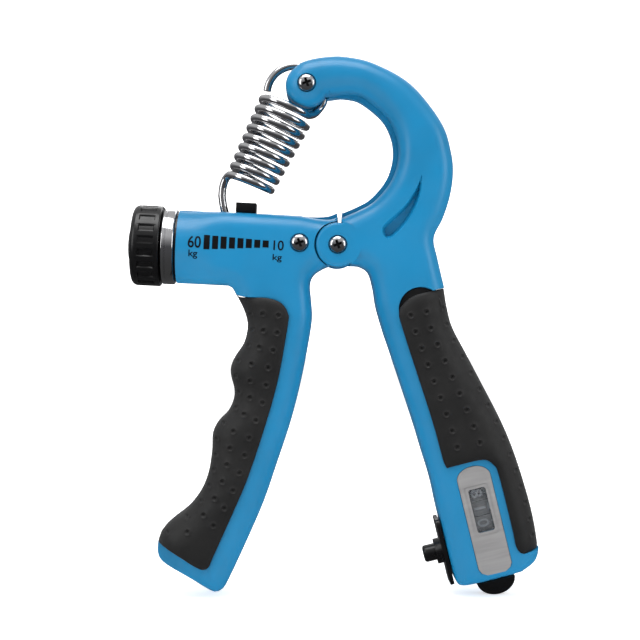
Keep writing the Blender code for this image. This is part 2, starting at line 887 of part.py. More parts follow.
def right_shell(name, facing):
    """One half of the right handle: C arm, pivot cheek and grip core."""
    outline = right_outline()
    face_edge = right_outline(False)
    face = right_face()
    lip = lip_area(arm_opening())
    covered = closed(right_grip_region(), scaled([(75.0, 14.9), (75.0, 91.4)]))
    case_space = to_plane(counter_frame(), [(-0.0095, 0.0102), (0.0095, 0.0102),
                                            (0.0095, -0.0195), (-0.0095, -0.0195)])
    neck_space = to_plane(counter_frame(down=BUTTON_DROP),
                          [(-0.0140, 0.0043), (-0.0090, 0.0043),
                           (-0.0090, -0.0043), (-0.0140, -0.0043)])
    shaft_space = to_plane(counter_frame(), [(-0.0016, -0.0190), (0.0016, -0.0190),
                                             (0.0016, -0.0240), (-0.0016, -0.0240)])
    changes = [(lip, carve_above(level(LIP_HALF_DEPTH))),
               (covered, carve_above(grip_seat(right_grip_outside()))),
               (inset(face_edge, WALL), hollow(WALL)),
               (circle(PIVOT, PIVOT_BLOCK_RADIUS, 20), fill(PARTING_HALF_GAP)),
               (circle(ANCHOR, NOSE_BLOCK_RADIUS, 20), fill(PARTING_HALF_GAP)),
               (circle(LOOP_CENTRE, LOOP_SPACE_RADIUS, 24),
                carve_below(level(LOOP_HALF_SPACE))),
               (circle(ANCHOR, LOOP_SPACE_NEAR_RADIUS, 20),
                carve_below(level(LOOP_HALF_SPACE))),
               (circle(PIVOT, CHEEK_RADIUS + CLEARANCE, 28), cheek_plate),
               (teardrop(), sink(TEARDROP_DEPTH)),
               (case_space, carve_below(level(CASE_HALF_DEPTH + FIT_GAP))),
               (neck_space, carve_below(level(NECK_HALF_DEPTH + FIT_GAP))),
               (shaft_space, carve_below(level(SHAFT_RADIUS + FIT_GAP)))]
    for point in (PIVOT, ANCHOR):
        changes += [(circle(point, SCREW_HEAD_RADIUS + FIT_GAP, 16), sink(HEAD_RECESS)),
                    (circle(point, SLEEVE_RADIUS + SLEEVE_CLEARANCE, 14), hole)]
    if facing < 0:
        changes += [(to_plane(counter_frame(), label_outline(FIT_GAP / 2)),
                     carve_above(level(LABEL_SEAT))),
                    (to_plane(counter_frame(), window_outline(0.0003)), hole)]
    extra = rings(face_edge, FACE_RINGS)
    mesh = layered_solid(name, outline, shell_base(face), changes, extra, facing)
    return add_object(name, mesh, blue_plastic(), smooth_angle=35)


def shell_base(face):
    return lambda plane: [(np.full(len(plane), PARTING_HALF_GAP), face(plane))]


def left_face():
    """The barrel is round at its ring end and flattens towards the pivot."""
    flat = pillow(left_outline(False), SHELL_HALF_DEPTH, LEFT_EDGE_RADIUS)
    barrel = trough(BARREL_FACE, BARREL_TILT, BARREL_RADIUS)

    def height(plane):
        along = ((plane[:, 0] - BARREL_FACE[0]) * math.cos(BARREL_TILT)
                 - (plane[:, 1] - BARREL_FACE[1]) * math.sin(BARREL_TILT))
        reach = np.clip((along - ROUND_END) / (FLAT_START - ROUND_END), 0.0, 1.0)
        share = reach * reach * (3.0 - 2.0 * reach)
        above = np.maximum(barrel(plane), THIN_EDGE)
        return share * flat(plane) + (1.0 - share) * above
    return height


def barrel_stations():
    """Points across the barrel at even steps along it, where its face changes shape."""
    rows = [share * CHANNEL_RADIUS for share in TROUGH_SHARES]
    rows += [-BARREL_EDGE_ROW, BARREL_EDGE_ROW]
    points = []
    for along in BARREL_STATIONS:
        points += to_plane(barrel_frame(), [(along, row) for row in rows])
    return points


def left_shell(name, facing):
    """One half of the left handle: barrel, pivot tongue and grip core."""
    outline = left_outline()
    face = left_face()
    lip = lip_area(barrel_edges()[1], True)
    covered = closed(left_grip_region(), scaled([(-70.0, 16.3), (-70.0, 89.3)]))
    to_barrel = barrel_frame().inverted()
    core = [p for p in inset(outline, WALL)
            if (to_barrel @ Vector((p[0], 0.0, p[1]))).z < -BARREL_RADIUS + WALL]
    channel = to_plane(barrel_frame(), [(CHANNEL_START, -CHANNEL_RADIUS),
                                        (CHANNEL_END, -CHANNEL_RADIUS),
                                        (CHANNEL_END, CHANNEL_RADIUS),
                                        (CHANNEL_START, CHANNEL_RADIUS)])
    rod_space = to_plane(barrel_frame(), [(0.0100, -ROD_SPACE), (0.0165, -ROD_SPACE),
                                          (0.0165, ROD_SPACE), (0.0100, ROD_SPACE)])
    slot = to_plane(barrel_frame(), [(SLOT_START, SLOT_FLOOR), (SLOT_END, SLOT_FLOOR),
                                     (SLOT_END, 0.0130), (SLOT_START, 0.0130)])
    creases = [to_plane(barrel_frame(), [(BARREL_START, share * CHANNEL_RADIUS),
                                         (CHANNEL_END, share * CHANNEL_RADIUS)])
               for share in TROUGH_SHARES]
    creases += [to_plane(barrel_frame(), [(0.0100, share * ROD_SPACE),
                                          (0.0165, share * ROD_SPACE)])
                for share in TROUGH_SHARES]
    changes = [(lip, carve_above(level(LIP_HALF_DEPTH))),
               (covered, carve_above(grip_seat(left_grip_outside()))),
               (core, hollow(WALL)),
               (channel, carve_below(trough(BARREL_FACE, BARREL_TILT, CHANNEL_RADIUS))),
               (rod_space, carve_below(trough(BARREL_FACE, BARREL_TILT, ROD_SPACE))),
               (slot, carve_below(level(SLOT_HALF_WIDTH))),
               (circle(PIVOT, CHEEK_RADIUS + CLEARANCE, 28),
                carve_above(level(TONGUE_HALF_DEPTH))),
               (circle(PIVOT, BUSH_RADIUS + SLEEVE_CLEARANCE, 20), hole)]
    changes += screw_seat(BARREL_SCREW, SLEEVE_RADIUS + SLEEVE_CLEARANCE)
    extra = rings(left_outline(False), FACE_RINGS) + barrel_stations()
    mesh = layered_solid(name, outline, shell_base(face), changes, extra, facing, creases)
    return add_object(name, mesh, blue_plastic(), smooth_angle=35)


# ---------------------------------------------------------------- grips


def wrapped_grip(name, region, side, shell_edge, inward):
    """Soft grip that wraps the outer side of a handle from front to back.

    region is the edge of the grip on the face and side its edge on the outer
    side, both open; inward is the direction of the handle's middle in X.
    """
    if math.dist(region[0], side[0]) < math.dist(region[0], side[-1]):
        side = list(reversed(side))
    face_edge = offset_points(region, FIT_GAP * sideways(region, -inward), False)
    outline = closed(face_edge[1:-1], side[1:-1])
    top = grip_top(side, region)
    seat = grip_seat(side)

    def around(plane):
        return [(-top(plane), top(plane))]

    def over_core(plane, layers):
        inner = seat(plane) + FIT_GAP
        return [(-top(plane), -inner), (inner, top(plane))]

    depth = GRIP_THICKNESS * sideways(side, inward)
    cover_edge = past_ends(offset_points(side, depth, False), END_REACH)
    overlap = closed(cover_edge, [(x + HANDLE_REACH * inward, z) for x, z in reversed(cover_edge)])
    extra = rings(outline, GRIP_RINGS) + rings(shell_edge, FACE_RINGS)
    extra = [p for p, keep in zip(extra, inside(extra, outline)) if keep]
    mesh = layered_solid(name, outline, around, [(overlap, over_core)], extra)
    return add_object(name, mesh, grip_rubber(), smooth_angle=40)


def sideways(curve, direction):
    """Sign of the offset that moves a curve towards +X or -X."""
    rises = curve[-1][1] > curve[0][1]
    return -direction if rises else direction


# ---------------------------------------------------------------- counter


def label_outline(grow=0.0):
    """Plate with a rounded top and chamfered lower corners, about the window."""
    half = LABEL_HALF_WIDTH + grow
    top = [(half * math.cos(math.radians(a)), LABEL_TOP - LABEL_CROWN
            + (LABEL_CROWN + grow) * math.sin(math.radians(a)))
           for a in range(0, 181, 20)]
    low = LABEL_BOTTOM - grow
    bottom = [(-half, low + 0.0022), (-half + 0.0022, low),
              (half - 0.0022, low), (half, low + 0.0022)]
    return top + bottom


def window_outline(grow=0.0):
    return rounded_rectangle(WINDOW_HALF_WIDTH + grow, -WINDOW_HALF_LENGTH - grow,
                             WINDOW_HALF_LENGTH + grow, 0.0008)


def counter_label():
    base = lambda plane: [(np.full(len(plane), LABEL_SEAT + 0.00005),
                           np.full(len(plane), LABEL_TOP_DEPTH))]
    mesh = layered_solid("counter_label", label_outline(), base,
                         [(window_outline(), hole)])
    return add_object("counter_label", mesh, silver_label(), counter_frame())


def counter_window():
    outline = window_outline(0.0001)
    mesh = prism("counter_window", outline, -WINDOW_FRONT, -WINDOW_BACK)
    return add_object("counter_window", mesh, clear_window(), counter_frame())


def counter_case():
    """Box round the wheels, with the button neck, flange and collar outside."""
    side, depth = CASE_HALF_WIDTH, CASE_HALF_DEPTH
    low, high = -CASE_BOTTOM, CASE_TOP
    case = add_object("counter_case", box("counter_case", (-side, -depth, low),
                                          (side, depth, high)),
                      black_plastic(), counter_frame())
    drop = -BUTTON_DROP
    neck = cutter(box("neck", (NECK_OUTER, -NECK_HALF_DEPTH, drop - 0.0040),
                      (-side + 0.0005, NECK_HALF_DEPTH, drop + 0.0040)), counter_frame())
    flange = cutter(prism("flange", rounded_plate(0.0060, 0.0100, 0.0018), 0.0, 0.0011),
                    counter_frame() @ Matrix.Translation((NECK_OUTER + 0.0001, 0.0, drop))
                    @ Matrix.Rotation(math.pi / 2, 4, "Z"))
    collar = cutter(cylinder("collar", 0.0038, 0.0, 0.0030, 32), button_frame(COLLAR_FACE))
    join_solid(case, [neck, flange, collar])
    inner = CASE_WALL
    room = cutter(box("room", (-side + inner, -depth + inner, low + 0.0014),
                      (side - inner, depth - inner, high - 0.0014)), counter_frame())
    view = cutter(box("view", (-0.0034, -depth - 0.001, -0.0070),
                      (0.0034, 0.0, 0.0070)), counter_frame())
    bore = cutter(cylinder("bore", BUTTON_RADIUS + FIT_GAP, -0.0010, 0.0080, 32),
                  button_frame(COLLAR_FACE))
    shaft = cutter(cylinder("shaft_hole", SHAFT_RADIUS + 0.0002, -0.0300, 0.0300, 16),
                   counter_frame())
    cut_away(case, [room, view, bore, shaft])
    return case


def rounded_plate(half_x, half_z, radius):
    return rounded_rectangle(half_x, -half_z, half_z, radius)


def button_frame(across):
    """Z runs across the handle into it, along the button's stroke."""
    return (counter_frame(across, BUTTON_DROP)
            @ Matrix.Rotation(math.pi / 2, 4, "Y"))


def count_button():
    """Push button with a hollow for its spring and a pawl above the ratchet."""
    length = BUTTON_INNER - BUTTON_TIP
    profile = [(SPRING_BORE, length), (BUTTON_RADIUS, length), (BUTTON_RADIUS, 0.0005),
               (BUTTON_RADIUS - 0.0005, 0.0), (0.0, 0.0), (0.0, SPRING_SEAT),
               (SPRING_BORE, SPRING_SEAT)]
    mesh = lathe("count_button", profile, 28)
    button = add_object("count_button", mesh, black_plastic(), button_frame(BUTTON_TIP),
                        smooth_angle=40)
    shoulder = cutter(tube("shoulder", 0.0033, SPRING_BORE, length - 0.0008, length, 28),
                      button_frame(BUTTON_TIP))
    pawl = cutter(box("pawl", (BUTTON_INNER - 0.0008, -0.0062, -BUTTON_DROP - 0.0010),
                      (-0.0018, -0.0050, -BUTTON_DROP + 0.0010)), counter_frame())
    post = cutter(box("post", (BUTTON_INNER - 0.0008, -0.0056, -BUTTON_DROP - 0.0010),
                      (BUTTON_INNER, -0.0026, -BUTTON_DROP + 0.0010)), counter_frame())
    join_solid(button, [shoulder, post, pawl])
    return button


def button_return_spring():
    turns = 5
    start = BUTTON_TIP + SPRING_SEAT + 0.0004
    end = SPRING_WEB - 0.0004
    path = []
    for k in range(turns * 8 + 1):
        angle = 2 * math.pi * k / 8
        path.append((0.0011 * math.cos(angle), 0.0011 * math.sin(angle),
                     (end - start) * k / (turns * 8)))
    mesh = wire("button_return_spring", path, 0.0002, 4)
    return add_object("button_return_spring", mesh, steel(), button_frame(start),
                      smooth_angle=60)


def spring_web():
    """Plate across the case that the return spring pushes on."""
    mesh = box("spring_web", (SPRING_WEB, -0.0042, -BUTTON_DROP - 0.0042),
               (SPRING_WEB + 0.0008, 0.0065, -BUTTON_DROP + 0.0030))
    return add_object("spring_web", mesh, steel(), counter_frame())


def number_wheel(name, place):
    """Drum on the wheel shaft; the place counts from the top of the window."""
    middle = (1 - place) * WHEEL_PITCH
    half = WHEEL_PITCH / 2 - 0.0001
    bore = SHAFT_RADIUS + 0.0001
    if place == 2:
        profile = [(bore, middle + half), (WHEEL_RADIUS, middle + half),
                   (WHEEL_RADIUS, middle - half), (0.0030, middle - half),
                   (0.0030, RATCHET_TOP), (RATCHET_RADIUS, RATCHET_TOP),
                   (RATCHET_RADIUS, RATCHET_TOP - 0.0020),
                   (bore, RATCHET_TOP - 0.0020)]
    else:
        profile = [(bore, middle + half), (WHEEL_RADIUS, middle + half),
                   (WHEEL_RADIUS, middle - half), (bore, middle - half)]
    mesh = lathe(name, profile, 30)
    return add_object(name, mesh, black_plastic(), counter_frame(), smooth_angle=40)


def carry_pinion(name, between):
    middle = (0.5 - between) * WHEEL_PITCH
    mesh = tube(name, PINION_RADIUS, 0.0006, middle - 0.0016, middle + 0.0016, 12)
    return add_object(name, mesh, white_acetal(), pinion_frame())


def pinion_frame():
    return counter_frame(0.0056, 0.0, 0.0057)


def pinion_shaft():
    mesh = cylinder("pinion_shaft", 0.0005, -CASE_BOTTOM + 0.0020, CASE_TOP - 0.0020, 12)
    return add_object("pinion_shaft", mesh, steel(), pinion_frame())


def wheel_shaft():
    mesh = cylinder("wheel_shaft", SHAFT_RADIUS, -RESET_TOP + 0.0001, CASE_TOP - 0.0004, 16)
    return add_object("wheel_shaft", mesh, steel(), counter_frame(), smooth_angle=40)


def reset_knob():
    """Half-oval thumb piece under the handle."""
    half, drop = RESET_HALF_WIDTH, RESET_DROP
    outline = [(half * math.cos(math.radians(a)), -drop * math.sin(math.radians(a)))
               for a in range(0, 181, 12)]
    mesh = prism("reset_knob", outline, -0.0024, 0.0024)
    knob = add_object("reset_knob", mesh, black_plastic(), counter_frame(0.0, RESET_TOP))
    edge = knob.modifiers.new("soft_edge", "BEVEL")
    edge.width = 0.0006
    edge.segments = 2
    edge.limit_method = "ANGLE"
    edge.angle_limit = math.radians(40)
    bake_modifiers(knob)
    return knob


# ---------------------------------------------------------------- screws


def pan_screw(name, point, depth):
    """Cross-recess screw from the front, its head seated at a face depth."""
    r = SCREW_HEAD_RADIUS
    seat = depth - HEAD_RECESS + 0.0001
    profile = [(0.0, seat + HEAD_HEIGHT), (0.55 * r, seat + 0.92 * HEAD_HEIGHT),
               (0.88 * r, seat + 0.6 * HEAD_HEIGHT), (r, seat + 0.25 * HEAD_HEIGHT),
               (r, seat), (SCREW_RADIUS, seat), (SCREW_RADIUS, -0.0060), (0.0, -0.0060)]
    screw = add_object(name, lathe(name, profile, 24), chrome(), depth_frame(point),
                       smooth_angle=50)
    arms = [cutter(box("cross", (-0.0013, -0.00028, seat + HEAD_HEIGHT - 0.0009),
                       (0.0013, 0.00028, seat + HEAD_HEIGHT + 0.001)),
                   depth_frame(point) @ Matrix.Rotation(math.radians(turn), 4, "Z"))
            for turn in (20, 110)]
    cut_away(screw, arms)
    return screw


def sleeve_nut(name, point, depth):
    """Threaded sleeve from the back; its bore takes the screw."""
    r = SCREW_HEAD_RADIUS
    seat = depth - HEAD_RECESS + 0.0001
    front = depth - HEAD_RECESS - 0.0003
    bore = SCREW_RADIUS + 0.0001
    profile = [(bore, seat + 0.0011), (0.8 * r, seat + 0.0011), (r, seat + 0.0007),
               (r, seat), (SLEEVE_RADIUS, seat), (SLEEVE_RADIUS, -front), (bore, -front)]
    return add_object(name, lathe(name, profile, 24), steel(), depth_frame(point, True),
                      smooth_angle=50)


def thrust_washer(name, back):
    low = TONGUE_HALF_DEPTH + 0.00015
    mesh = tube(name, 0.0055, SLEEVE_RADIUS + SLEEVE_CLEARANCE, low, low + 0.0005, 28)
    return add_object(name, mesh, white_acetal(), depth_frame(PIVOT, back))


def pivot_bush():
    half = TONGUE_HALF_DEPTH
    mesh = tube("pivot_bush", BUSH_RADIUS, SLEEVE_RADIUS + SLEEVE_CLEARANCE, -half, half, 28)
    return add_object("pivot_bush", mesh, white_acetal(), depth_frame(PIVOT),
                      smooth_angle=50)


# ---------------------------------------------------------------- adjuster


def pocketed_outline(radius, depth, pockets):
    """Round outline with evenly spaced pockets of a given depth."""
    points = []
    for k in range(pockets):
        for share, sunk in ((0.0, 0.0), (0.40, 0.0), (0.50, 1.0), (0.90, 1.0)):
            angle = 2 * math.pi * (k + share) / pockets
            r = radius - depth * sunk
            points.append((r * math.cos(angle), r * math.sin(angle)))
    return points


def adjust_knob():
    """Knob with a rounded outer edge and a band of pockets for the fingers."""
    work = bmesh.new()
    sections = [(0.0, 0.86, 0.0), (0.0004, 0.93, 0.0), (0.0016, 1.0, 0.0),
                (POCKET_START, 1.0, 0.0), (POCKET_START + POCKET_RAMP, 1.0, POCKET_DEPTH),
                (POCKET_END, 1.0, POCKET_DEPTH), (POCKET_END + POCKET_RAMP, 1.0, 0.0),
                (KNOB_LENGTH - 0.0006, 1.0, 0.0), (KNOB_LENGTH, 0.97, 0.0)]
    loops = []
    for z, scale, depth in sections:
        outline = pocketed_outline(KNOB_RADIUS * scale, depth, KNOB_POCKETS)
        loops.append([work.verts.new((x, y, z)) for x, y in outline])
    for one, two in zip(loops, loops[1:]):
        for k in range(len(one)):
            n = (k + 1) % len(one)
            work.faces.new((one[k], one[n], two[n], two[k]))
    work.faces.new(loops[0])
    work.faces.new(list(reversed(loops[-1])))
    knob = add_object("adjust_knob", mesh_from_bmesh("adjust_knob", work),
                      black_plastic(), barrel_axis_frame(), smooth_angle=30)
    bore = cutter(cylinder("bore", 0.0024, -0.001, KNOB_LENGTH + 0.001, 20),
                  barrel_axis_frame())
    dish = cutter(cylinder("dish", CAP_RADIUS + 0.0002, -0.001, 0.0030, 32),
                  barrel_axis_frame())
    cut_away(knob, [bore, dish])
    return knob


def knob_end_cap():
    r = CAP_RADIUS
    profile = [(0.0, 0.0005), (r, 0.0005), (r, -CAP_PROUD + 0.0005),
               (r - 0.0005, -CAP_PROUD), (0.0, -CAP_PROUD)]
    return add_object("knob_end_cap", lathe("knob_end_cap", profile, 32),
                      black_plastic(), barrel_axis_frame(), smooth_angle=40)


def knob_screw():
    profile = [(0.0, 0.0100), (0.0009, 0.0100), (0.0009, 0.0027), (0.0028, 0.0027),
               (0.0028, 0.0010), (0.0, 0.0010)]
    return add_object("knob_screw", lathe("knob_screw", profile, 20), steel(),
                      barrel_axis_frame(), smooth_angle=40)


def leadscrew():
    """Threaded rod; the thread is drawn as rings one pitch apart."""
    r = LEADSCREW_RADIUS
    profile = [(0.00105, LEADSCREW_END), (r, LEADSCREW_END)]
    z = LEADSCREW_END - 0.001
    while z > THREAD_START:
        profile += [(r, z), (r - 0.0004, z - THREAD_PITCH / 2), ]
        z -= THREAD_PITCH
    profile += [(r, z), (r, 0.0032), (0.00105, 0.0032)]
    return add_object("leadscrew", lathe("leadscrew", profile, 12), steel(),
                      barrel_axis_frame(), smooth_angle=40)


def leadscrew_clip():
    mesh = tube("leadscrew_clip", 0.0042, LEADSCREW_RADIUS + 0.0001, 0.0162, 0.0168, 24)
    return add_object("leadscrew_clip", mesh, steel(), barrel_axis_frame())


def leadscrew_end_block():
    mesh = tube("leadscrew_end_block", 0.0075, LEADSCREW_RADIUS + 0.0002,
                0.0434, CHANNEL_END - 0.0003, 24)
    return add_object("leadscrew_end_block", mesh, black_plastic(), barrel_axis_frame(),
                      smooth_angle=40)


def chrome_collar():
    low, high = COLLAR_START, COLLAR_END
    r = COLLAR_RADIUS
    profile = [(ROD_SPACE, high), (r - 0.0008, high), (r - 0.0002, high - 0.0005),
               (r, high - 0.0012), (r, low + 0.0012), (r - 0.0002, low + 0.0005),
               (r - 0.0008, low), (ROD_SPACE, low)]
    return add_object("chrome_collar", lathe("chrome_collar", profile, 32), chrome(),
                      barrel_axis_frame(), smooth_angle=40)


def barrel_gasket():
    mesh = tube("barrel_gasket", 0.0104, ROD_SPACE, COLLAR_END + 0.0001,
                BARREL_START - 0.0001, 36)
    return add_object("barrel_gasket", mesh, black_plastic(), barrel_axis_frame(),
                      smooth_angle=40)


def slider_nut():
    """Travelling nut: body on the leadscrew, fork for the hook, pointer on top."""
    left, right = SLIDER_LEFT, SLIDER_RIGHT
    frame = barrel_frame()
    nut = add_object("slider_nut", box("slider_nut", (left, -0.0050, -0.0058),
                                       (right, 0.0050, 0.0034)),
                     black_plastic(), frame)
    fork = cutter(box("fork", (left, -0.0040, 0.0020), (right, 0.0040, 0.0066)), frame)
    neck = cutter(box("neck", (POINTER_LEFT, -0.0022, 0.0050),
                      (POINTER_RIGHT, 0.0022, 0.0118)), frame)
    pointer = cutter(box("pointer", (POINTER_LEFT, -0.0032, 0.0113),
                         (POINTER_RIGHT, 0.0032, POINTER_TOP)), frame)
    join_solid(nut, [fork, neck, pointer])
    rod = cutter(cylinder("rod", LEADSCREW_RADIUS + FIT_GAP, 0.0100, 0.0500, 20),
                 barrel_axis_frame())
    gap = cutter(box("gap", (left - 0.001, -0.0016, 0.0024),
                     (POINTER_RIGHT - 0.0008, 0.0016, 0.0092)), frame)
    mouth = cutter(box("mouth", (left - 0.001, -0.0016, 0.0080),
                       (POINTER_LEFT + 0.0001, 0.0016, 0.0120)), frame)
    pin = to_plane(frame.inverted(), [HOOK_PIN])[0]
    pin_hole = cutter(cylinder("pin_hole", 0.0015, -0.006, 0.006, 16),
                      frame @ Matrix.Translation((pin[0], 0.0, pin[1]))
                      @ Matrix.Rotation(math.pi / 2, 4, "X"))
    cut_away(nut, [rod, gap, mouth, pin_hole])
    return nut


def hook_pin():
    mesh = cylinder("hook_pin", 0.0014, -0.0025, 0.0025, 16)
    return add_object("hook_pin", mesh, steel(), depth_frame(HOOK_PIN), smooth_angle=40)


# ---------------------------------------------------------------- spring


def coil_axis():
    """Start of the coil and its unit direction down to the slider."""
    start = Vector(COIL_TOP)
    along = (Vector(COIL_BOTTOM) - start).normalized()
    return start, along


def coil_path():
    """Tapering helix from the upper loop to the lower hook."""
    start, along = coil_axis()
    length = (Vector(COIL_BOTTOM) - start).length
    across = Vector((-along.y, along.x))
    steps = round(COIL_TURNS * COIL_STEPS)
    path = []
    for k in range(steps + 1):
        share = k / steps
        radius = COIL_TOP_RADIUS + (COIL_BOTTOM_RADIUS - COIL_TOP_RADIUS) * share
        angle = COIL_FIRST_ANGLE + 2 * math.pi * COIL_TURNS * share
        centre = start + along * length * share
        side = centre + across * radius * math.cos(angle)
        path.append(Vector((side.x, -radius * math.sin(angle), side.y)))
    return path


def butt_end(end, neighbour):
    """Two points just off the end of the coil's wire, in line with it."""
    along = (end - neighbour).normalized()
    return [end + along * WIRE_CUT, end + along * WIRE_LEAD]


def spring_coil():
    return add_object("spring_coil", wire("spring_coil", coil_path(), SPRING_WIRE_RADIUS, 6),
                      chrome(), smooth_angle=60)


def spring_upper_loop():
    """Loop round the anchor, swept down under the nose into the first turn."""
    coil = coil_path()
    ring = arc(LOOP_CENTRE, LOOP_RADIUS, 174, 0, 0.0021)
    path = [Vector((x, 0.0, z)) for x, z in ring]
    path += [Vector(p) * MM for p in LOOP_SWEEP]
    path += list(reversed(butt_end(coil[0], coil[1])))
    mesh = wire("spring_upper_loop", path, SPRING_WIRE_RADIUS, 8)
    return add_object("spring_upper_loop", mesh, chrome(), smooth_angle=60)


def spring_lower_hook():
    """Wire from the last turn, down through the slot and round the pin."""
    coil = coil_path()
    sweep = spline(scaled([(-33.2, 119.2), (-32.8, 116.2), (-32.1, 113.4),
                           (-31.3, 110.4)]), 0.0018)
    pin_bend = arc(HOOK_PIN, HOOK_RADIUS, 172, 370)
    path = butt_end(coil[-1], coil[-2])
    path += [Vector(p) * MM for p in HOOK_SWEEP]
    path += [Vector((x, 0.0, z)) for x, z in sweep + pin_bend[1:]]
    mesh = wire("spring_lower_hook", path, SPRING_WIRE_RADIUS, 8)
    return add_object("spring_lower_hook", mesh, chrome(), smooth_angle=60)


def spring_anchor_bush():
    half = LOOP_HALF_SPACE - 0.0002
    mesh = tube("spring_anchor_bush", 0.0031, SLEEVE_RADIUS + SLEEVE_CLEARANCE,
                -half, half, 24)
    return add_object("spring_anchor_bush", mesh, steel(), depth_frame(ANCHOR),
                      smooth_angle=40)


# ---------------------------------------------------------------- assembly


def build_right_handle():
    right_shell("right_shell_front", -1.0)
    right_shell("right_shell_back", 1.0)
    wrapped_grip("right_grip", right_grip_region(), right_grip_outside(),
                 right_outline(False), -1.0)
    counter_label()
    counter_window()
    counter_case()
    spring_web()
    pan_screw("pivot_screw", PIVOT, SHELL_HALF_DEPTH)
    sleeve_nut("pivot_sleeve_nut", PIVOT, SHELL_HALF_DEPTH)
    pan_screw("anchor_screw", ANCHOR, SHELL_HALF_DEPTH)
    sleeve_nut("anchor_sleeve_nut", ANCHOR, SHELL_HALF_DEPTH)
    thrust_washer("pivot_washer_front", False)
    thrust_washer("pivot_washer_back", True)
    button_return_spring()
    pinion_shaft()


def build_counter_moving_parts():
    count_button()
    wheel_shaft()
    reset_knob()
    for place, name in enumerate(("hundreds_wheel", "tens_wheel", "units_wheel")):
        number_wheel(name, place)
    carry_pinion("carry_pinion_upper", 0)
    carry_pinion("carry_pinion_lower", 1)


def build_left_handle():
    left_shell("left_shell_front", -1.0)
    left_shell("left_shell_back", 1.0)
    wrapped_grip("left_grip", left_grip_region(), left_grip_outside(),
                 left_outline(False), 1.0)
    pan_screw("barrel_screw", BARREL_SCREW, SHELL_HALF_DEPTH)
    sleeve_nut("barrel_sleeve_nut", BARREL_SCREW, SHELL_HALF_DEPTH)
    pivot_bush()
    chrome_collar()
    barrel_gasket()
    leadscrew_end_block()


def build_adjuster():
    adjust_knob()
    knob_end_cap()
    knob_screw()
    leadscrew()
    leadscrew_clip()
    slider_nut()
    hook_pin()


def build_spring():
    spring_anchor_bush()
    spring_upper_loop()
    spring_coil()
    spring_lower_hook()


clear_scene()
build_right_handle()
build_counter_moving_parts()
build_left_handle()
build_adjuster()
build_spring()
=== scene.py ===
"""Finished look of the adjustable hand grip strengthener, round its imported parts.

The tool stands upright: X runs to the right, Z up and the front faces -Y. All
lengths are in metres. Outlines are lists of (x, z) points. The large moulded
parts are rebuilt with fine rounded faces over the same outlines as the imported
parts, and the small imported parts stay, with softened edges and new materials.
"""

import json
import math

import bmesh
import bpy
import numpy as np
from mathutils import Matrix, Vector
from mathutils.geometry import delaunay_2d_cdt

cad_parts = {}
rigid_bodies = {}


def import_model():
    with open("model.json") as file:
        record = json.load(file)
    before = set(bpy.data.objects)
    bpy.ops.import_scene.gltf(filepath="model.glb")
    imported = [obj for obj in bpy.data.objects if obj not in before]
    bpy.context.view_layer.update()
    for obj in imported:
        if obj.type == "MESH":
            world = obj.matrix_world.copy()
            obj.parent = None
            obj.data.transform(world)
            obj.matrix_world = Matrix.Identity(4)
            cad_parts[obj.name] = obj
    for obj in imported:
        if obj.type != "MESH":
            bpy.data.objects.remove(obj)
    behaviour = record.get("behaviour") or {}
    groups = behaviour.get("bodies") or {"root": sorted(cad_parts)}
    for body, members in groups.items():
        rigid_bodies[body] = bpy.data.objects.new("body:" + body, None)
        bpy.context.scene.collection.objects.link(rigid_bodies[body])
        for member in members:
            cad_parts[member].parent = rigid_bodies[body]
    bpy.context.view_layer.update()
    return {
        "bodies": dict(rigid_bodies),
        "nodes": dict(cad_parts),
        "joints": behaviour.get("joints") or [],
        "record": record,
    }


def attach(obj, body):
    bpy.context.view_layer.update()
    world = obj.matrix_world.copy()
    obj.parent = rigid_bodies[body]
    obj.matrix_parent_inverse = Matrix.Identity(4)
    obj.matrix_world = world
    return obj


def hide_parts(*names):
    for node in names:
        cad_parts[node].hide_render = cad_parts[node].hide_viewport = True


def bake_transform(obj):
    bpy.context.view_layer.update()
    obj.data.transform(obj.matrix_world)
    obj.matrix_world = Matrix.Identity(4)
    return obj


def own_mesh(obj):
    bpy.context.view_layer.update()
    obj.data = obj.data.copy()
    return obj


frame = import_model()

MM = 0.001

# ---------------------------------------------------------------- shared sizes

FIT_GAP = 0.0003
GRIP_SEAM = 0.00006
CLEARANCE = 0.0004
SLEEVE_CLEARANCE = 0.00015
PARTING_HALF_GAP = 0.00015
THIN_EDGE = 0.0029
THINNEST = 0.00005
PART_ROUND = 0.0003
SMALL_PART_ROUND = 0.0002
INSET_SHARE = 0.985
NEARLY_ZERO = 1e-18
PLANE_TOLERANCE = 2e-6
JOIN_TOLERANCE = 0.0001
AXIS_TOLERANCE = 1e-7
HEIGHT_STEP = 0.000001
WELD = 0.000003

SHELL_HALF_DEPTH = 0.0105
SHELL_EDGE_RADIUS = 0.0052
LEFT_EDGE_RADIUS = 0.0054
LIP_WIDTH = 0.0014
LIP_RUN_OUT = 0.0090
LIP_HALF_DEPTH = 0.0016
TEARDROP_DEPTH = 0.0024
TEARDROP_RUN = 0.0009

GRIP_HALF_DEPTH = 0.0122
GRIP_EDGE_RADIUS = 0.0088
GRIP_THICKNESS = 0.0024
GRIP_BLEND = 0.0030
GRIP_EDGE_DROP = 0.0011
END_REACH = 0.010
HANDLE_REACH = 0.030

PIVOT = (0.0014, 0.1040)
CHEEK_RADIUS = 0.0065
TONGUE_RADIUS = 0.0062
CHEEK_INNER_DEPTH = 0.0068
TONGUE_HALF_DEPTH = 0.0060
BUSH_RADIUS = 0.0036

ANCHOR = (-0.0077, 0.1513)
NOSE_RADIUS = 0.0063
LOOP_CENTRE = (-0.0113, 0.1497)
LOOP_RADIUS = 0.0084
LOOP_SPACE_RADIUS = 0.0103
LOOP_SPACE_NEAR_RADIUS = 0.0067
LOOP_HALF_SPACE = 0.0018

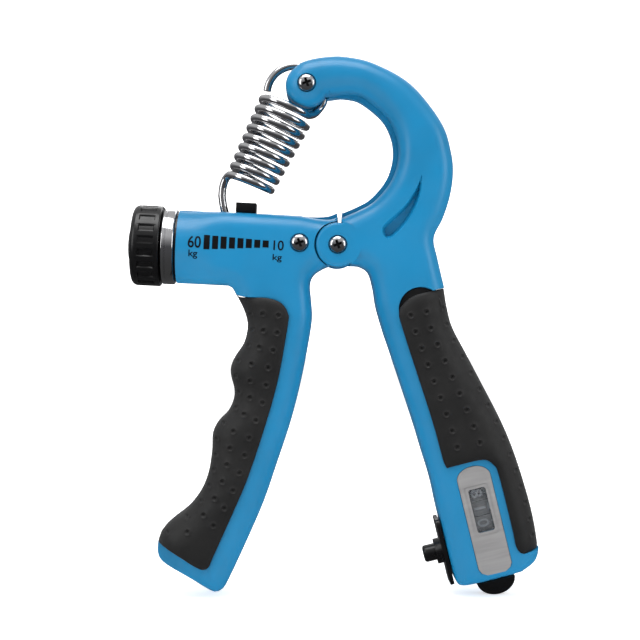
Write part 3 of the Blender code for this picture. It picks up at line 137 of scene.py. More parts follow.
BARREL_FACE = (-0.0596, 0.1044)
BARREL_TILT = math.radians(2.7)
BARREL_RADIUS = 0.0110
BARREL_HALF_HEIGHT = 0.01078
KNUCKLE_ROUND = 0.0010
SQUARE_RADIUS = 0.0085
BARREL_START = 0.0136
ROUND_END = 0.0170
FLAT_START = 0.0290
CHANNEL_RADIUS = 0.0082
CHANNEL_START = 0.0159
CHANNEL_END = 0.0455
ROD_SPACE = 0.0026
ROD_SPACE_START = 0.0100
ROD_SPACE_END = 0.0165
BARREL_GRID_LENGTH = 0.0205
BARREL_GRID_ROWS = 18
BARREL_GRID_REACH = 75
BARREL_GRID_TURN = 6
SLOT_HALF_WIDTH = 0.0026
SLOT_FLOOR = 0.0070
SLOT_TOP = 0.0130
SLOT_START = 0.0169
SLOT_END = 0.0436

KNOB_RADIUS = 0.01200
KNOB_LENGTH = 0.0086
KNOB_BORE = 0.0024
KNOB_POCKETS = 20
POCKET_DEPTH = 0.0005
POCKET_START = 0.0024
POCKET_END = 0.0069
CAP_RADIUS = 0.00515
CAP_PROUD = 0.0011
CAP_RIM = 0.0006
CAP_GROOVE_DEPTH = 0.00015
CAP_GROOVE = (0.0011, 0.0012, 0.0014, 0.0015)
DISH_FLOOR = 0.0030
DISH_EDGE = 0.0004
KNOB_OUTER_RIM = 0.0018
KNOB_INNER_RIM = 0.0005
POCKET_RAMP = 0.00025
POCKET_STEPS = 16
POCKET_SIDE = 0.08
POCKET_SHARES = (0.40, 0.92)
COLLAR_RIM = 0.0007
COLLAR_GROOVE_DEPTH = 0.00012
COLLAR_GROOVE = (0.0009, 0.0008, 0.0006, 0.0005)
COLLAR_RADIUS = 0.0113
COLLAR_START = 0.0089
COLLAR_END = 0.0129

BARREL_SCREW = (-0.0098, 0.1045)
SCREW_HEAD_RADIUS = 0.0025
HEAD_RECESS = 0.0007
HEAD_HEIGHT = 0.0016
SCREW_RADIUS = 0.0013
SCREW_END_DEPTH = -0.0060
HEAD_LIFT = 0.0001
HEAD_EDGE = 0.0003
DOME_STEPS = 12
RECESS_DEPTH = 0.0013
RECESS_HALF_LENGTH = 0.0016
RECESS_HALF_WIDTH = 0.00042
RECESS_FOOT = 0.0008
RECESS_TAPER = 0.7
RECESS_TURNS = (20, 110)
SLEEVE_RADIUS = 0.0021

COUNTER_CENTRE = (0.0434, 0.0264)
COUNTER_TILT = math.radians(-13.65)
LABEL_HALF_WIDTH = 0.0049
LABEL_TOP = 0.0130
LABEL_CROWN = 0.0034
LABEL_BOTTOM = -0.0190
LABEL_SEAT = 0.0100
LABEL_TOP_DEPTH = 0.01065
LABEL_LIFT = 0.00005
LABEL_CHAMFER = 0.0022
LABEL_CHAMFER_X = 0.0007
LABEL_CHAMFER_Z = 0.0009
WINDOW_FRAME = 0.0010
WINDOW_FRAME_RIDGE = 0.0007
WINDOW_FRAME_DEPTH = 0.00012
WINDOW_CORNER = 0.0008
WINDOW_HALF_WIDTH = 0.0026
WINDOW_HALF_LENGTH = 0.0065
CASE_HALF_DEPTH = 0.0074
WHEEL_RADIUS = 0.0066
WHEEL_PITCH = 0.0044
SHAFT_RADIUS = 0.0010
RESET_TOP = 0.0224
RESET_DROP = 0.00455
RESET_HALF_WIDTH = 0.0058
RESET_HALF_THICK = 0.0024
RESET_ROUND = 0.0007
BUTTON_DROP = 0.0105
NECK_HALF_DEPTH = 0.0040
CASE_ROOM = ((-0.0095, 0.0102), (0.0095, -0.0195))
NECK_ROOM = ((-0.0140, 0.0043), (-0.0090, -0.0043))
SHAFT_ROOM = ((-0.0016, -0.0190), (0.0016, -0.0240))
SPRING_WIRE_EDGE = 0.00005

SPRING_WIRE_RADIUS = 0.0012
HOOK_PIN = (-0.0284, 0.1095)
COIL_TOP = (-0.0136, 0.1457)
COIL_BOTTOM = (-0.0250, 0.1225)
COIL_TOP_RADIUS = 0.0078
COIL_BOTTOM_RADIUS = 0.0065
COIL_TURNS = 8.34
COIL_FIRST_ANGLE = math.radians(35)
LOOP_SWEEP = ((-2.8, 0.0, 147.3), (-4.2, -0.3, 145.0), (-5.6, -1.6, 143.4))
HOOK_SWEEP = ((-32.0, -0.4, 124.3), (-32.9, 0.0, 121.9))
HOOK_SHANK = ((-33.2, 119.2), (-32.8, 116.2), (-32.1, 113.4), (-31.3, 110.4))
WIRE_STEP = 0.0005
WIRE_LEAD = 0.0009
HOOK_RADIUS = 0.0029

# ---------------------------------------------------------------- fineness and trim

CURVE_STEP = 0.0009
ROUND_RINGS = 8
FACE_PITCH = 0.0016
BARREL_PITCH = 0.0011
GRIP_PITCH = 0.0013
TURN_STEPS = 44
WIRE_SIDES = 14
LATHE_SIDES = 72
CHUNK = 1500

DIMPLE_RADIUS = 0.00068
DIMPLE_DEPTH = 0.00054
DIMPLE_RIM = 0.00016
DIMPLE_RIM_RADIUS = 0.00092
DIMPLE_RIM_WIDTH = 0.00020
DIMPLE_MARGIN = 0.0013
DIMPLE_EDGE = 0.0017
DIMPLE_RING_SIZES = ((0.4, 6), (0.75, 10), (1.0, 14), (1.35, 16), (1.75, 16))
# Columns of dimples: height of the top one, count, step and place (see dimple_centres).
RIGHT_DIMPLES = ((0.0854, 15, 0.00476, None), (0.0842, 9, 0.00476, 0.60),
                 (0.0832, 9, 0.00480, 0.25))
LEFT_DIMPLES = ((0.0837, 15, 0.00458, None), (0.0837, 14, 0.0049, 0.66),
                (0.0832, 13, 0.0051, 0.27))

LEDGE_CENTRE = (0.0257, 0.0851)
LEDGE_RADIUS = 0.0065
LEDGE_POCKET = 0.0016
LEDGE_HALF_DEPTH = 0.0094
LEDGE_ROUND = 0.0004

PRINT_PROUD = 0.00004
PRINT_SUNK = 0.00008
FIGURE_PIECE = 0.14
FIGURE_BOLDNESS = 0.012
DIGIT_HEIGHT = 0.0034
DIGIT_WIDTH = 0.0024
ONE_WIDTH = 0.30
SCALE_BARS = 8
BAR_START = 0.0218
BAR_PITCH = 0.00246
BAR_WIDTH = 0.00175
FIRST_BAR = (-0.0008, 0.0034)
LAST_BAR = (0.00055, 0.0026)
# Words on the barrel with their lower left and upper right corners in its frame.
SCALE_WORDS = (("60", (0.0172, -0.0005), (0.0210, 0.0030)),
               ("kg", (0.0175, -0.0037), (0.0201, -0.0011)),
               ("10", (0.0422, -0.0001), (0.0452, 0.0028)),
               ("kg", (0.0421, -0.0036), (0.0448, -0.0012)))

CAMERA_PLACE = (-0.0038, -0.400, 0.0819)
CAMERA_LENS = 75.0
CAMERA_CLIP = 0.01
STUDIO_MIDDLE = (0.0, 0.0, 0.080)
FLOOR_SIZE = 6.0
DOME_RADIUS = 2.5
FLOOR_GLOW = 0.60
SKY_STRENGTH = 0.70
# Softboxes: name, place, width, height and power in watts.
SOFTBOXES = (("top_softbox", (-0.05, -0.15, 0.62), 0.50, 0.35, 3.0),
             ("left_softbox", (-0.55, -0.35, 0.28), 0.30, 0.45, 1.25),
             ("right_softbox", (0.60, -0.30, 0.25), 0.30, 0.45, 1.25),
             ("back_softbox", (0.10, 0.60, 0.45), 0.50, 0.35, 1.0))
CARD_SIZE = 0.10
CARD_TURN = 0.5
CARD_PLACE = (0.24, -0.42, 0.12)

# ---------------------------------------------------------------- colours

BLUE = (0.0052, 0.172, 0.352)
BLACK = (0.0030, 0.0030, 0.0034)
WHEEL_GREY = (0.0040, 0.0044, 0.0052)
WHITE = (0.66, 0.66, 0.63)
CHROME = (0.56, 0.56, 0.57)
STEEL = (0.55, 0.55, 0.56)
# Dark steel for the faces of the screws' cross recesses: painted shade inside the recess.
RECESS_PAINTED_SHADE = (0.060, 0.060, 0.062)
FIGURE_GREY = (0.13, 0.138, 0.15)
INK = (0.0025, 0.0025, 0.003)
RUBBER_SHADES = [(0.30, (0.0070, 0.0070, 0.0072)), (0.55, (0.0095, 0.0094, 0.0094)),
                 (0.80, (0.0140, 0.0137, 0.0134))]
LABEL_SHADES = [(0.3, (0.285, 0.280, 0.280)), (0.7, (0.345, 0.340, 0.340))]
WINDOW_SHADES = [(0.3, (0.70, 0.74, 0.78)), (0.7, (0.86, 0.89, 0.92))]
FLOOR_SHADES = [(0.3, (0.89, 0.89, 0.89)), (0.7, (0.92, 0.92, 0.92))]
SKY_SHADES = [(0.0, (0.10, 0.10, 0.10)), (0.48, (0.14, 0.14, 0.15)),
              (0.62, (0.45, 0.45, 0.46)), (0.75, (0.95, 0.95, 0.96))]

# ---------------------------------------------------------------- node helpers


def blank_material(name):
    """New material with its node tree and its shader."""
    made = bpy.data.materials.new(name)
    made.use_nodes = True
    return made, made.node_tree, made.node_tree.nodes["Principled BSDF"]


def noise(tree, scale, detail=4.0, stretch=(1.0, 1.0, 1.0)):
    """Noise over the piece's own space; the scale is in cells per metre."""
    place = tree.nodes.new("ShaderNodeTexCoord")
    mapping = tree.nodes.new("ShaderNodeMapping")
    mapping.inputs["Scale"].default_value = stretch
    texture = tree.nodes.new("ShaderNodeTexNoise")
    texture.inputs["Scale"].default_value = scale
    texture.inputs["Detail"].default_value = detail
    tree.links.new(place.outputs["Object"], mapping.inputs["Vector"])
    tree.links.new(mapping.outputs["Vector"], texture.inputs["Vector"])
    return texture.outputs["Fac"]


def ramp(tree, factor, stops):
    """Colours at places along a factor."""
    node = tree.nodes.new("ShaderNodeValToRGB")
    band = node.color_ramp
    while len(band.elements) < len(stops):
        band.elements.new(1.0)
    for element, (place, colour) in zip(band.elements, stops):
        element.position = place
        element.color = (*colour, 1.0)
    tree.links.new(factor, node.inputs["Fac"])
    return node.outputs["Color"]


def spread(tree, factor, low, high):
    """The factor's middle range stretched between two values."""
    node = tree.nodes.new("ShaderNodeMapRange")
    node.inputs["From Min"].default_value = 0.3
    node.inputs["From Max"].default_value = 0.7
    node.inputs["To Min"].default_value = low
    node.inputs["To Max"].default_value = high
    tree.links.new(factor, node.inputs["Value"])
    return node.outputs["Result"]


def relief(tree, shader, factor, strength, distance):
    """Fine surface relief from a factor."""
    node = tree.nodes.new("ShaderNodeBump")
    node.inputs["Strength"].default_value = strength
    node.inputs["Distance"].default_value = distance
    tree.links.new(factor, node.inputs["Height"])
    tree.links.new(node.outputs["Normal"], shader.inputs["Normal"])


def shaded(scale, colour):
    """A colour made lighter or darker."""
    return tuple(channel * scale for channel in colour)


# ---------------------------------------------------------------- materials


def moulded_plastic(name, colour, gloss, grain):
    """Injection-moulded plastic: faint flow clouds, uneven gloss and a fine skin."""
    made, tree, shader = blank_material(name)
    clouds = noise(tree, 55.0, 3.0)
    tree.links.new(ramp(tree, clouds, [(0.25, shaded(0.90, colour)), (0.5, colour),
                                       (0.8, shaded(1.08, colour))]),
                   shader.inputs["Base Color"])
    tree.links.new(spread(tree, noise(tree, 240.0), gloss - 0.04, gloss + 0.06),
                   shader.inputs["Roughness"])
    shader.inputs["Specular IOR Level"].default_value = 0.36
    relief(tree, shader, noise(tree, 5200.0, 2.0), grain, 0.00004)
    return made


def blue_plastic():
    return moulded_plastic("shell_blue", BLUE, 0.33, 0.10)


def black_plastic():
    return moulded_plastic("satin_black", BLACK, 0.30, 0.14)


def wheel_plastic():
    return moulded_plastic("wheel_grey", WHEEL_GREY, 0.68, 0.004)


def white_acetal():
    return moulded_plastic("white_acetal_finish", WHITE, 0.38, 0.08)


def grip_rubber():
    """Soft charcoal rubber: a matt pebbled skin, rubbed a little paler in patches."""
    made, tree, shader = blank_material("grip_rubber_finish")
    patches = noise(tree, 70.0, 5.0)
    tree.links.new(ramp(tree, patches, RUBBER_SHADES), shader.inputs["Base Color"])
    tree.links.new(spread(tree, noise(tree, 420.0), 0.50, 0.64),
                   shader.inputs["Roughness"])
    shader.inputs["Specular IOR Level"].default_value = 0.24
    shader.inputs["Sheen Weight"].default_value = 0.06
    shader.inputs["Sheen Roughness"].default_value = 0.5
    relief(tree, shader, noise(tree, 3600.0, 3.0), 0.30, 0.00006)
    return made


def bright_metal(name, colour, low_rough, high_rough, stretch=(1.0, 1.0, 1.0)):
    """Metal with faint tarnish clouds and fine polishing marks."""
    made, tree, shader = blank_material(name)
    clouds = noise(tree, 150.0, 4.0)
    tree.links.new(ramp(tree, clouds, [(0.3, shaded(0.88, colour)), (0.7, colour)]),
                   shader.inputs["Base Color"])
    shader.inputs["Metallic"].default_value = 1.0
    marks = noise(tree, 1400.0, 3.0, stretch)
    tree.links.new(spread(tree, marks, low_rough, high_rough), shader.inputs["Roughness"])
    relief(tree, shader, marks, 0.04, 0.00003)
    return made


def chrome():
    return bright_metal("chrome_finish", CHROME, 0.09, 0.16)


def steel():
    return bright_metal("steel_finish", STEEL, 0.22, 0.38, (1.0, 1.0, 4.0))


def silver_label():
    """Satin silver plate, brushed across its width."""
    made, tree, shader = blank_material("label_silver")
    streaks = noise(tree, 900.0, 4.0, (0.08, 1.0, 1.0))
    tree.links.new(ramp(tree, streaks, LABEL_SHADES), shader.inputs["Base Color"])
    shader.inputs["Metallic"].default_value = 0.35
    tree.links.new(spread(tree, streaks, 0.34, 0.46), shader.inputs["Roughness"])
    relief(tree, shader, streaks, 0.05, 0.00003)
    return made


def clear_window():
    """Thin clear cover with a few faint scuffs."""
    made, tree, shader = blank_material("window_clear")
    scuffs = noise(tree, 700.0, 5.0)
    tree.links.new(ramp(tree, scuffs, WINDOW_SHADES), shader.inputs["Base Color"])
    tree.links.new(spread(tree, scuffs, 0.03, 0.10), shader.inputs["Roughness"])
    shader.inputs["Specular IOR Level"].default_value = 0.18
    shader.inputs["Alpha"].default_value = 0.06
    return made


def print_ink(name, colour):
    """Printed or moulded-in figures, slightly uneven where the ink is thin."""
    made, tree, shader = blank_material(name)
    thin = noise(tree, 1500.0, 3.0)
    tree.links.new(ramp(tree, thin, [(0.25, shaded(1.35, colour)), (0.55, colour)]),
                   shader.inputs["Base Color"])
    tree.links.new(spread(tree, thin, 0.42, 0.58), shader.inputs["Roughness"])
    shader.inputs["Specular IOR Level"].default_value = 0.15
    relief(tree, shader, thin, 0.05, 0.00002)
    return made


# ---------------------------------------------------------------- mesh helpers


def add_object(name, mesh, look, place=None, smooth_angle=None):
    """Piece with one material, at a local frame."""
    obj = bpy.data.objects.new(name, mesh)
    bpy.context.scene.collection.objects.link(obj)
    mesh.materials.clear()
    mesh.materials.append(look)
    if place is not None:
        obj.location = place.translation
        obj.rotation_euler = place.to_euler()
    if smooth_angle is not None:
        mesh.shade_smooth()
        mesh.set_sharp_from_angle(angle=math.radians(smooth_angle))
    return obj


def mesh_from_bmesh(name, work):
    """Finish a mesh under construction, its faces turned outward."""
    bmesh.ops.recalc_face_normals(work, faces=work.faces)
    mesh = bpy.data.meshes.new(name)
    work.to_mesh(mesh)
    work.free()
    return mesh


def cut_away(obj, cutters):
    """Take the cutters' volume out of an object; the cut faces keep the cutters' look."""
    for tool in cutters:
        step = obj.modifiers.new("cut", "BOOLEAN")
        step.operation = "DIFFERENCE"
        step.solver = "EXACT"
        step.material_mode = "TRANSFER"
        step.object = tool
    bake_modifiers(obj)
    for tool in cutters:
        bpy.data.objects.remove(tool, do_unlink=True)


def bake_modifiers(obj):
    """Apply a piece's modifiers and weld what they leave behind."""
    bpy.context.view_layer.update()
    graph = bpy.context.evaluated_depsgraph_get()
    baked = bpy.data.meshes.new_from_object(obj.evaluated_get(graph))
    work = bmesh.new()
    work.from_mesh(baked)
    bmesh.ops.remove_doubles(work, verts=work.verts, dist=WELD)
    bmesh.ops.dissolve_degenerate(work, edges=work.edges, dist=WELD)
    work.to_mesh(baked)
    work.free()
    obj.modifiers.clear()
    obj.data = baked


def soften(obj, width, segments=3, smooth_angle=35, limit=30):
    """Round the sharp edges of a piece."""
    edge = obj.modifiers.new("soft_edge", "BEVEL")
    edge.width = width
    edge.segments = segments
    edge.limit_method = "ANGLE"
    edge.angle_limit = math.radians(limit)
    bake_modifiers(obj)
    obj.data.shade_smooth()
    obj.data.set_sharp_from_angle(angle=math.radians(smooth_angle))
    return obj


# ---------------------------------------------------------------- local frames


def upright_frame(point, tilt=0.0, depth=0.0):
    """Frame at an (x, z) point whose X axis leans down by the tilt."""
    turn = Matrix.Rotation(tilt, 4, "Y")
    return Matrix.Translation((point[0], depth, point[1])) @ turn


def barrel_frame(along=0.0):
    """X runs along the barrel towards the pivot, Z up across it."""
    start = upright_frame(BARREL_FACE, BARREL_TILT)
    return start @ Matrix.Translation((along, 0.0, 0.0))


def barrel_axis_frame(along=0.0):
    """Z runs along the barrel towards the pivot."""
    return barrel_frame(along) @ Matrix.Rotation(math.pi / 2, 4, "Y")


def counter_frame(across=0.0, down=0.0, depth=0.0):
    """X runs across the handle and Z up along it; down is along the handle."""
    start = upright_frame(COUNTER_CENTRE, COUNTER_TILT)
    return start @ Matrix.Translation((across, depth, -down))


def depth_frame(point, back=False):
    """Z points out of the front face, or out of the back face."""
    turn = Matrix.Rotation(-math.pi / 2 if back else math.pi / 2, 4, "X")
    return Matrix.Translation((point[0], 0.0, point[1])) @ turn


def to_plane(frame, points):
    """Local (x, z) points of a frame as (x, z) points of the whole tool."""
    placed = [frame @ Vector((x, 0.0, z)) for x, z in points]
    return [(p.x, p.z) for p in placed]


# ---------------------------------------------------------------- curves


def scaled(points):
    """Points written in millimetres, as metres."""
    return [(x * MM, z * MM) for x, z in points]


def through(points, step=CURVE_STEP):
    """Smooth open curve through every given point, in two or three dimensions."""
    knots = [Vector(p) for p in points]
    before = knots[0] * 2 - knots[1]
    after = knots[-1] * 2 - knots[-2]
    chain = [before] + knots + [after]
    curve = []
    for i in range(1, len(chain) - 2):
        p0, p1, p2, p3 = chain[i - 1:i + 3]
        pieces = max(1, round((p2 - p1).length / step))
        for k in range(pieces):
            t = k / pieces
            curve.append(0.5 * ((2 * p1) + (p2 - p0) * t
                                + (2 * p0 - 5 * p1 + 4 * p2 - p3) * t * t
                                + (3 * p1 - p0 - 3 * p2 + p3) * t * t * t))
    curve.append(knots[-1])
    return curve


def spline(points, step=CURVE_STEP):
    """Smooth open curve through plane points."""
    return [(p.x, p.y) for p in through(points, step)]


def arc(centre, radius, start_deg, end_deg, step=CURVE_STEP):
    """Points along a circular arc, both ends included."""
    length = abs(math.radians(end_deg - start_deg)) * radius
    pieces = max(2, round(length / step))
    points = []
    for k in range(pieces + 1):
        angle = math.radians(start_deg + (end_deg - start_deg) * k / pieces)
        points.append((centre[0] + radius * math.cos(angle),
                       centre[1] + radius * math.sin(angle)))
    return points


def circle(centre, radius, sides=48):
    """Closed ring of points."""
    turns = [2 * math.pi * k / sides for k in range(sides)]
    return [(centre[0] + radius * math.cos(t), centre[1] + radius * math.sin(t))
            for t in turns]


def rounded_rectangle(half_x, low_z, high_z, radius, step=0.0002):
    """Rectangle about the Z axis with round corners."""
    inner = half_x - radius
    corners = [((inner, high_z - radius), 90, 0), ((inner, low_z + radius), 0, -90),
               ((-inner, low_z + radius), -90, -180),
               ((-inner, high_z - radius), 180, 90)]
    points = []
    for centre, start, end in corners:
        points += arc(centre, radius, start, end, step)
    return points


def eased(share):
    """Share from 0 to 1 that starts and ends gently."""
    return share * share * (3.0 - 2.0 * share)


def rectangle(place, corner, opposite):
    """Rectangle between two corners of a local frame, in the plane of the whole tool."""
    return to_plane(place, [corner, (opposite[0], corner[1]),
                            opposite, (corner[0], opposite[1])])


def closed(*stretches):
    """Join stretches into one closed outline without doubled points."""
    outline = []
    for stretch in stretches:
        for point in stretch:
            if not outline or math.dist(point, outline[-1]) > JOIN_TOLERANCE:
                outline.append(point)
    if math.dist(outline[0], outline[-1]) < JOIN_TOLERANCE:
        outline.pop()
    return outline


def in_chunks(measure, points):
    """Run a measure over many points without a huge table in memory."""
    points = np.asarray(points, dtype=float).reshape(-1, 2)
    if len(points) == 0:
        return np.zeros(0)
    return np.concatenate([measure(points[i:i + CHUNK])
                           for i in range(0, len(points), CHUNK)])


def distance_to(points, polygon, is_closed=True):
    """Shortest distance of each point to a polygon's edges."""
    start = np.asarray(polygon, dtype=float)
    end = np.roll(start, -1, axis=0)
    if not is_closed:
        start, end = start[:-1], end[:-1]
    edge = end - start
    square = np.maximum((edge * edge).sum(-1), NEARLY_ZERO)

    def measure(part):
        from_start = part.reshape(-1, 1, 2) - start
        t = np.clip((from_start * edge).sum(-1) / square, 0.0, 1.0)
        apart = from_start - t[..., None] * edge
        return np.sqrt((apart ** 2).sum(-1).min(-1))
    return in_chunks(measure, points)


def inside(points, polygon):
    """Which points lie inside a closed polygon."""
    start = np.asarray(polygon, dtype=float)
    end = np.roll(start, -1, axis=0)
    rise = np.where(end[:, 1] == start[:, 1], NEARLY_ZERO, end[:, 1] - start[:, 1])

    def measure(part):
        x, z = part[:, 0:1], part[:, 1:2]
        crosses = (start[:, 1] > z) != (end[:, 1] > z)
        at = start[:, 0] + (z - start[:, 1]) * (end[:, 0] - start[:, 0]) / rise
        return (crosses & (x < at)).sum(-1) % 2 == 1
    return in_chunks(measure, points).astype(bool)


def signed_area(polygon):
    """Area of a polygon, positive when it runs anticlockwise."""
    pairs = zip(polygon, polygon[1:] + polygon[:1])
    return 0.5 * sum(a[0] * b[1] - b[0] * a[1] for a, b in pairs)


def offset_points(curve, amount, is_closed=True):
    """Move each point of a curve sideways; positive is to its left."""
    count = len(curve)
    moved = []
    for i, point in enumerate(curve):
        back = curve[(i - 1) % count] if is_closed or i else point
        ahead = curve[(i + 1) % count] if is_closed or i < count - 1 else point
        along = Vector((ahead[0] - back[0], ahead[1] - back[1])).normalized()
        moved.append((point[0] - along.y * amount, point[1] + along.x * amount))
    return moved


def past_ends(curve, amount):
    """Open curve with straight extensions at both ends."""
    first = Vector(curve[0]) + (Vector(curve[0]) - Vector(curve[1])).normalized() * amount
    last = Vector(curve[-1]) + (Vector(curve[-1]) - Vector(curve[-2])).normalized() * amount
    return [tuple(first)] + list(curve) + [tuple(last)]


def inset(outline, amount):
    """Closed outline a constant distance inside another."""
    turn = 1.0 if signed_area(outline) > 0 else -1.0
    moved = offset_points(outline, amount * turn)
    far_enough = distance_to(moved, outline) > amount * INSET_SHARE
    kept = inside(moved, outline) & far_enough
    return [p for p, keep in zip(moved, kept) if keep]


def divided(polygon):
    """The same closed polygon with points along its long edges."""
    points = []
    for a, b in zip(polygon, list(polygon[1:]) + [polygon[0]]):
        pieces = max(1, round(math.dist(a, b) / CURVE_STEP))
        points += [(a[0] + (b[0] - a[0]) * k / pieces, a[1] + (b[1] - a[1]) * k / pieces)
                   for k in range(pieces)]
    return points


def rounding_rings(outline, radius):
    """Points where a face's rounded edge turns by equal angles."""
    rim = divided(outline)
    points = []
    for k in range(1, ROUND_RINGS + 1):
        turn = math.pi / 2 * k / ROUND_RINGS
        points += inset(rim, radius * (1.0 - math.cos(turn)))
    return points


def staggered_points(outline, margin, pitch):
    """Points in staggered rows over the part of an outline away from its edge."""
    xs = [p[0] for p in outline]
    zs = [p[1] for p in outline]
    row_step = pitch * math.sqrt(3) / 2
    points = []
    for row in range(int((max(zs) - min(zs)) / row_step) + 1):
        shift = pitch / 2 if row % 2 else 0.0
        for column in range(int((max(xs) - min(xs)) / pitch) + 1):
            points.append((min(xs) + shift + column * pitch, min(zs) + row * row_step))
    keep = inside(points, outline) & (distance_to(points, outline) > margin)
    return [p for p, kept in zip(points, keep) if kept]


# ---------------------------------------------------------------- layered solids


def layered_solid(name, outline, base, changes=(), extra_points=(), facing=-1.0):
    """Closed solid made of columns of material over a plane outline.

    base gives the column's layers as (low, high) heights at plane points. A
    change is a polygon and a function that alters the layers inside it; the
    changes act in order. Heights run to the front when facing is -1.
    """
    rim = divided(outline)
    coords = [Vector(p) for p in rim]
    edges = [(i, (i + 1) % len(rim)) for i in range(len(rim))]
    for polygon, _ in changes:
        fine = divided(polygon)
        first = len(coords)
        coords += [Vector(p) for p in fine]
        edges += [(first + i, first + (i + 1) % len(fine)) for i in range(len(fine))]
    coords += [Vector(p) for p in extra_points]
    flat, _, faces, _, _, _ = delaunay_2d_cdt(coords, edges, [], 0, PLANE_TOLERANCE)
    plane = np.array([(v.x, v.y) for v in flat])
    centres = np.array([plane[list(f)].mean(axis=0) for f in faces])
    within = inside(centres, outline)
    covers = [inside(centres, polygon) for polygon, _ in changes]
    ground = base(plane)
    stacks = {}
    kinds = []
    for number in range(len(faces)):
        kind = tuple(i for i, cover in enumerate(covers) if cover[number])
        kinds.append(kind)
        if within[number] and kind not in stacks:
            layers = ground
            for index in kind:
                layers = changes[index][1](plane, layers)
            stacks[kind] = layers
    return stack_columns(name, plane, faces, kinds, within, stacks, facing)


def stack_columns(name, plane, faces, kinds, within, stacks, facing):
    """Faces and walls of a layered solid, from each triangle's layers."""
    work = bmesh.new()
    corner = {}
    levels = {}

    def vertex(i, height):
        key = (i, round(float(height) / HEIGHT_STEP))
        if key not in corner:
            corner[key] = work.verts.new((plane[i][0], facing * float(height), plane[i][1]))
            levels.setdefault(i, set()).add(key[1])
        return corner[key]

    def add_face(verts):
        unique = list(dict.fromkeys(verts))
        if len(unique) > 2:
            work.faces.new(unique)

    sides = {}
    for number, face in enumerate(faces):
        if not within[number]:
            continue
        layers = [(low, high) for low, high in stacks[kinds[number]]
                  if np.mean((high - low)[list(face)]) > THINNEST]
        for low, high in layers:
            add_face([vertex(i, high[i]) for i in face])
            add_face([vertex(i, low[i]) for i in reversed(face)])
        for a, b in zip(face, tuple(face[1:]) + (face[0],)):
            sides.setdefault((min(a, b), max(a, b)), []).append(layers)

    def wall_column(i, low, high):
        low_key, high_key = round(float(low) / HEIGHT_STEP), round(float(high) / HEIGHT_STEP)
        between = sorted(k for k in levels.get(i, ()) if low_key <= k <= high_key)
        return [corner[(i, k)] for k in between]

    for (a, b), stacked in sides.items():
        ends_a = sorted(h[a] for layers in stacked for pair in layers for h in pair)
        ends_b = sorted(h[b] for layers in stacked for pair in layers for h in pair)
        for n in range(0, len(ends_a), 2):
            left = wall_column(a, ends_a[n], ends_a[n + 1])
            right = wall_column(b, ends_b[n], ends_b[n + 1])
            add_face(left + list(reversed(right)))
    return mesh_from_bmesh(name, work)


def level(height):
    """Height function that is the same everywhere."""
    return lambda plane: np.full(len(plane), height)


def pillow(outline, half_depth, edge_radius, drop=None, is_closed=True):
    """Height function of a face whose edge is rounded along an outline."""
    fall = edge_radius if drop is None else drop

    def height(plane):
        reach = np.clip(distance_to(plane, outline, is_closed) / edge_radius, 0.0, 1.0)
        return half_depth - fall * (1.0 - np.sqrt(1.0 - (1.0 - reach) ** 2))
    return height


def trough(start, tilt, radius):
    """Height function of a round channel whose axis lies in the parting plane."""
    along = (math.cos(tilt), -math.sin(tilt))

    def height(plane):
        across = ((plane[:, 0] - start[0]) * along[1] - (plane[:, 1] - start[1]) * along[0])
        return np.sqrt(np.maximum(radius ** 2 - across ** 2, 0.0))
    return height


def carve_above(height):
    """Change: nothing stands higher than this."""
    return lambda plane, layers: [(low, np.minimum(high, height(plane)))
                                  for low, high in layers]


def carve_below(height):
    """Change: nothing reaches lower than this."""
    return lambda plane, layers: [(np.maximum(low, height(plane)), high)
                                  for low, high in layers]


def sink(amount):
    """Change: a recess of constant depth in the face."""
    return lambda plane, layers: [(low, high - amount) for low, high in layers]


def scoop(outline, depth, run):
    """Change: a recess whose walls slope down from an outline."""
    def change(plane, layers):
        reach = np.clip(distance_to(plane, outline) / run, 0.0, 1.0)
        share = eased(reach)
        return [(low, high - depth * share) for low, high in layers]
    return change


def hole(plane, layers):
    """Change: no material at all."""
    return []


# ---------------------------------------------------------------- plain solids


def lathe(name, profile, segments=LATHE_SIDES):
    """Solid of revolution about Z from (radius, z) points, top to bottom."""
    work = bmesh.new()
    loops = []
    for radius, z in profile:
        if radius < AXIS_TOLERANCE:
            loops.append([work.verts.new((0.0, 0.0, z))] * segments)
            continue
        loops.append([work.verts.new((radius * math.cos(2 * math.pi * k / segments),
                                      radius * math.sin(2 * math.pi * k / segments), z))
                      for k in range(segments)])
    pairs = list(zip(loops, loops[1:]))
    if profile[0][0] > AXIS_TOLERANCE:
        pairs.append((loops[-1], loops[0]))
    for upper, lower in pairs:
        for k in range(segments):
            n = (k + 1) % segments
            corners = list(dict.fromkeys((upper[k], upper[n], lower[n], lower[k])))
            if len(corners) > 2:
                work.faces.new(corners)
    return mesh_from_bmesh(name, work)


def prism(name, polygon, low_y, high_y):
    """Plane outline in X and Z, extruded along Y."""
    work = bmesh.new()
    front = [work.verts.new((x, low_y, z)) for x, z in polygon]
    back = [work.verts.new((x, high_y, z)) for x, z in polygon]
    work.faces.new(front)
    work.faces.new(list(reversed(back)))
    for i in range(len(polygon)):
        n = (i + 1) % len(polygon)
        work.faces.new((front[i], back[i], back[n], front[n]))
    return mesh_from_bmesh(name, work)


def quarter(radius, z, round_radius, start_deg, end_deg, pieces=5):
    """Round of a lathe profile, about a centre given by its radius and height."""
    return [(radius + round_radius * math.cos(math.radians(a)),
             z + round_radius * math.sin(math.radians(a)))
            for a in (start_deg + (end_deg - start_deg) * k / pieces
                      for k in range(pieces + 1))]


